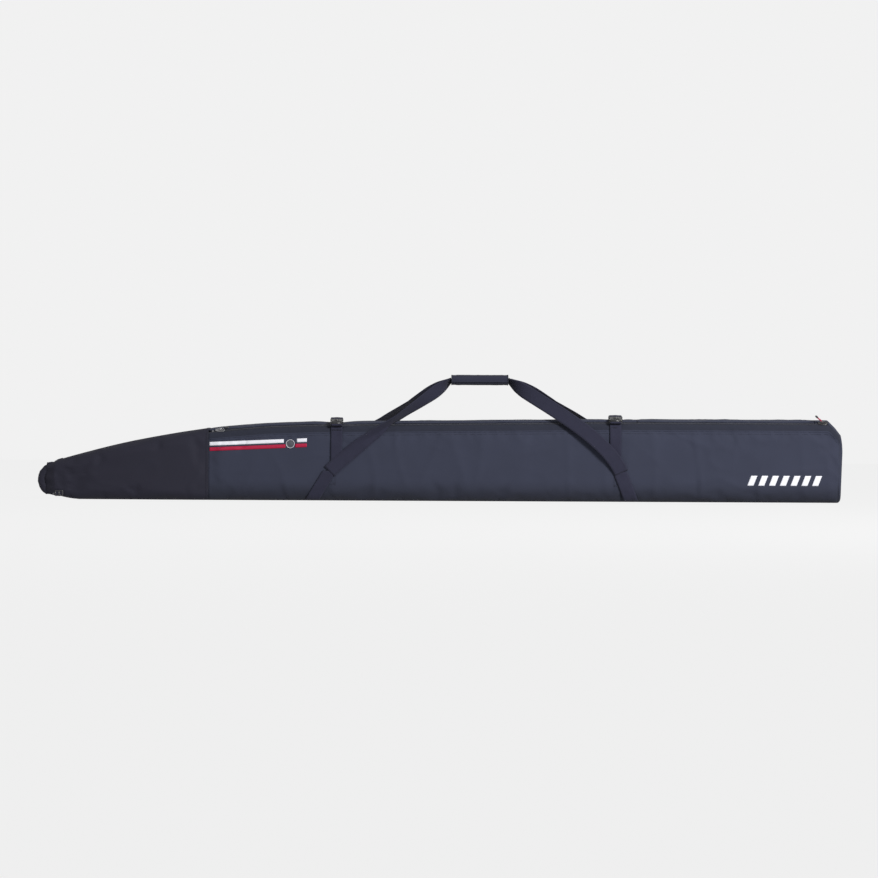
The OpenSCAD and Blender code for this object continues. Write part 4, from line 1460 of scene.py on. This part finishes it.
def make_grip_half(name, upper, body, node):
    def ring(x, squeeze=0.0, shift=0.0):
        outer, inner = grip_section(x, upper)
        mids = [(a + b) / 2 for a, b in zip(outer, inner)]
        points = [a.lerp(m, squeeze) for a, m in zip(outer, mids)]
        points += [a.lerp(m, squeeze) for a, m in zip(inner, mids)][::-1]
        return [p + Vector((shift, 0, 0)) for p in points]

    x0, x1 = GRIP_X0 + 2 * MM, GRIP_X1 - 2 * MM
    closing = ((0.45, 2.0), (0.22, 1.7), (0.08, 1.0))
    rows = [ring(x0, k, -dx * MM) for k, dx in closing]
    rows += [ring(x) for x in steps(x0, x1, 3.2 * MM)]
    rows += [ring(x1, k, dx * MM) for k, dx in reversed(closing)]
    pad = grid(name + "_open", rows, [M_GRIP], closed=True, flip=upper)
    m, half = len(rows[0]), len(rows[0]) // 2
    faces = [tuple(p.vertices) for p in pad.data.polygons]
    for base, first in ((0, True), ((len(rows) - 1) * m, False)):
        for i in range(half - 1):
            quad = (base + i, base + i + 1, base + m - 2 - i, base + m - 1 - i)
            faces.append(quad[::-1] if first != upper else quad)
    closed_pad = link(name + "_pad", [v.co for v in pad.data.vertices], faces, [M_GRIP])
    bpy.data.objects.remove(pad)
    layer = closed_pad.data.uv_layers.new(name="UVMap")
    for loop in closed_pad.data.loops:
        co = closed_pad.data.vertices[loop.vertex_index].co
        layer.data[loop.index].uv = (co.x, atan2(co.z - GRIP_Z, co.y) * 18 * MM)
    parts = [closed_pad]
    for end, shift in ((2, -0.5), (len(rows) - 3, 0.5)):
        path = [p + mm(shift, 0, 0) for p in rows[end][:half]]
        parts.append(tube(name + "_rim", path, 1.7, M_BINDING, 8))
    for j in (1, half - 2):
        parts.append(tube(name + "_edge", [row[j] for row in rows[3:-3]], 0.95, M_BINDING, 8))
    lines = []
    for j in (half - 23, half - 5):
        line = []
        for row in rows[4:-4]:
            out = (row[j] - Vector((row[j].x, 0, GRIP_Z))).normalized()
            line.append((row[j] + out * 0.15 * MM, out))
        lines.append(line)
    parts.append(stitches(name + "_thread", lines, 2.6, 1.2, 0.3))
    obj = piece(join(name, parts), body, "grip_fabric", node)


make_grip_half("grip_pad_lower", False, "carry_grip", "grip_base")
make_grip_half("grip_pad_upper", True, "grip_cover", "grip_flap")


def closure_strip(name, lift, body, node):
    """Hook or loop tape, stitched down along its border."""
    x0, x1, z = GRIP_X0 + 6 * MM, GRIP_X1 - 6 * MM, GRIP_Z + lift * MM
    outline = rounded((x1 - x0) / MM, 5, 0.8, (x0 + x1) / 2 / MM, 3.3 - GRIP_HALF / MM)
    strip = plate(name, [outline], z / MM - 0.27, z / MM + 0.27, M_HOOK, 0.1)
    y = -GRIP_HALF + 1.5 * MM
    line = [(Vector((x, y, z)), Z_AXIS) for x in steps(x0 + 2 * MM, x1 - 2 * MM, 10 * MM)]
    thread = stitches(name + "_thread", [line], 2.2, 1.2, 0.28)
    piece(join(name, [strip, thread]), body, "hook_loop", node)


closure_strip("hook_tape", -0.3, "carry_grip", "hook_strip")
closure_strip("loop_tape", 0.3, "grip_cover", "loop_strip")


# ---- Trim --------------------------------------------------------------------------------

def decal(name, corners, mat, lift=0.3 * MM, size=3 * MM):
    """A thin print on the front. corners are (x, z): lower left, lower right, upper right, upper left."""
    (ax, az), (bx, bz), (cx, cz), (dx, dz) = corners
    nx = max(2, round(max(abs(bx - ax), abs(cx - dx)) / size))
    nz = max(2, round(abs(dz - az) / size))
    rows = []
    for u in (i / nx for i in range(nx + 1)):
        row = []
        for v in (j / nz for j in range(nz + 1)):
            x = lerp(lerp(ax, bx, u), lerp(dx, cx, u), v)
            z = lerp(lerp(az, bz, u), lerp(dz, cz, u), v)
            row.append(on_skin(x, s_at(x, z), lift))
        rows.append(row)
    return solid(grid(name, rows, [mat], flip=True), 0.2 * MM)


stripe_lo, stripe_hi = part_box("red_stripe")
STRIPE_X0, STRIPE_X1 = stripe_lo.x, stripe_hi.x
STRIPE_W = 9.6 * MM
badge_lo, badge_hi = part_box("badge")
BADGE = (badge_lo + badge_hi) / 2
BADGE_R = (badge_hi.x - badge_lo.x) / 2


def make_stripes(name, gap, z_left, z_right, mat, slot, node):
    """A stripe in two lengths, with a gap on both sides of the badge."""
    spans = ((STRIPE_X0, BADGE.x - BADGE_R - gap), (BADGE.x + BADGE_R + gap, STRIPE_X1))
    parts = []
    for x0, x1 in spans:
        za, zb = (lerp(z_left, z_right, (x - STRIPE_X0) / (STRIPE_X1 - STRIPE_X0)) for x in (x0, x1))
        h = STRIPE_W / 2
        parts.append(decal(name, [(x0, za - h), (x1, zb - h), (x1, zb + h), (x0, za + h)], mat, 0.65 * MM))
    piece(join(name, parts), "bag", slot, node)


make_stripes("white_lines", 5 * MM, 0.146, 0.157, M_WHITE, "stripe_white", "white_stripes")
make_stripes("red_lines", 0.5 * MM, 0.132, 0.1435, M_RED, "stripe_red", "red_stripe")


def make_badge():
    """A plain round badge: a rim, a sunk face and a low dome, riveted by its own soft edge."""
    s = s_at(BADGE.x, BADGE.z)
    n = outward(BADGE.x, s)
    base = on_skin(BADGE.x, s, 0.5 * MM)
    across = X_AXIS
    up = n.cross(across).normalized()
    up = up if up.z > 0 else -up

    def ring(r, h):
        centre = base + n * h * MM
        return [centre + (cos(a) * across + sin(a) * up) * r * BADGE_R for a in circle(40)]

    profile = ((1.0, -0.9), (1.0, 0.2), (0.96, 0.9), (0.88, 1.2), (0.80, 1.1), (0.75, 0.7), (0.66, 0.65),
               (0.48, 0.95), (0.3, 1.15), (0.1, 1.25), (0.01, 1.26))
    disc = grid("badge_disc", [ring(r, h) for r, h in profile], [M_BADGE], closed=True)
    rim = tube("badge_rim", ring(0.885, 1.15), 0.5, M_WHITE, 8, closed=True)
    piece(join("round_badge", [disc, rim]), "bag", "badge_plastic", "badge")


make_badge()


def make_bars():
    """Seven plain slanted bars."""
    lo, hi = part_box("tail_print")
    bars = []
    for i in range(7):
        x = lo.x + i * 28 * MM
        corners = [(x, lo.z), (x + 16 * MM, lo.z), (x + 26 * MM, hi.z), (x + 10 * MM, hi.z)]
        bars.append(decal("bar", corners, M_WHITE))
    piece(join("slanted_bars", bars), "bag", "stripe_white", "tail_print")


make_bars()


def piping(name, x0, x1, s, radius, mat):
    path = [on_skin(x, s, radius * 0.35 * MM) for x in steps(x0, x1, 8 * MM)]
    return tube(name, path, radius, mat, 8)


def make_seams():
    """Piping along the long seams, the felled nose seam, and its two rows of stitches."""
    parts, lines = [], []
    stops = [SEAM_X - 12 * MM, LEFT_X, RIGHT_X, TAIL_X + 14 * MM]
    for x0, x1 in zip(stops, stops[1:]):
        x0, x1 = x0 + 16 * MM, x1 - 16 * MM
        parts.append(piping("front_piping", x0, x1, 1.985, 0.8, M_SHELL))
        parts.append(piping("back_piping", x0, x1, 5.03, 1.1, M_BINDING))
        for s in (1.945, 5.075, 2.40):
            lines.append([(on_skin(x, s, 0.3 * MM), outward(x, s)) for x in steps(x0, x1, 10 * MM)])
    rows = []
    for dx, lift in ((-6, 0.05), (-5.4, 0.35), (-4, 0.5), (-1.5, 0.5), (0.4, 0.35), (1.0, 0.05)):
        rows.append([on_skin(SEAM_X + dx * MM, s, lift * MM) for s in section_steps(0.35, 6.65, 5 * MM)])
    parts.append(grid("nose_fell", rows, [M_NOSE], flip=True))
    for dx in (-4.6, -0.6):
        x = SEAM_X + dx * MM
        lines.append([(on_skin(x, s, 0.6 * MM), outward(x, s)) for s in section_steps(0.4, 6.6, 5 * MM)])
    parts.append(stitches("seam_thread", lines))
    piece(join("seams", parts), "bag", "binding", "seam_bindings")


make_seams()


def make_hinge_cord():
    """The flap's fold: a corded edge on its turning line, which closes the joint in every pose."""
    path = [Vector((x, HINGE_Y, HINGE_Z)) for x in steps(FLAP_X0 + MM, FLAP_X1 - MM, 20 * MM)]
    piece(tube("flap_fold_cord", path, 2.6, M_BINDING), "flap", "binding")


make_hinge_cord()


def make_tabs():
    """The two short tabs that hold the roll's ends."""
    upper = ((-1021, 94.4), (-1014, 95.8), (-1005, 96.2), (-997, 102.4), (-985, 106.2))
    lower = ((-1026, 13.4), (-1018, 13.2), (-1007, 10.6), (-999, 8.6), (-990, 8.0))
    tabs = []
    for line in (upper, lower):
        points = curve_through([mm(x, 0, z) for x, z in line], 5)
        rows = []
        for c, ahead in zip(points, directions(points)):
            n = ahead.cross(Y_AXIS).normalized()
            rows.append(across_ribbon(c, Y_AXIS, n, 16 * MM, 7, 0.4 * MM))
        tabs.append(solid(grid("tab", rows, [M_WEB]), 1.7 * MM, 0.0))
    piece(join("roll_webbing_tabs", tabs), "bag", "webbing", "roll_tabs")


make_tabs()


def make_lock():
    """The ladder lock: a frame with two windows, a lifted lip and a bar, with its strap's end."""
    lo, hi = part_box("nose_buckle")
    w, h = (hi.x - lo.x) / MM, (hi.z - lo.z) / MM
    windows = [rounded(4.5, 10, 0.9, x) for x in (-5, 5)]
    parts = [plate("lock_frame", [rounded(w, h, 2.5)] + windows, -1.5, 1.5, M_PLASTIC, 0.7),
             tube("lock_lip", [mm(1.3 - w / 2, y, 1.2) for y in (-5.5, 0, 5.5)], 1.2, M_PLASTIC),
             tube("lock_bar", [mm(0, y, 0.7) for y in (-5.5, 0, 5.5)], 1.5, M_PLASTIC),
             plate("lock_strap", [rounded(24, 9.6, 1.2)], -1.3, 0.3, M_WEB, 0.3)]
    upright = Matrix.Translation((lo + hi) / 2) @ Matrix.Rotation(radians(90), 4, "X")
    piece(moved(join("ladder_lock", parts), upright), "bag", "buckle_plastic", "nose_buckle")


make_lock()
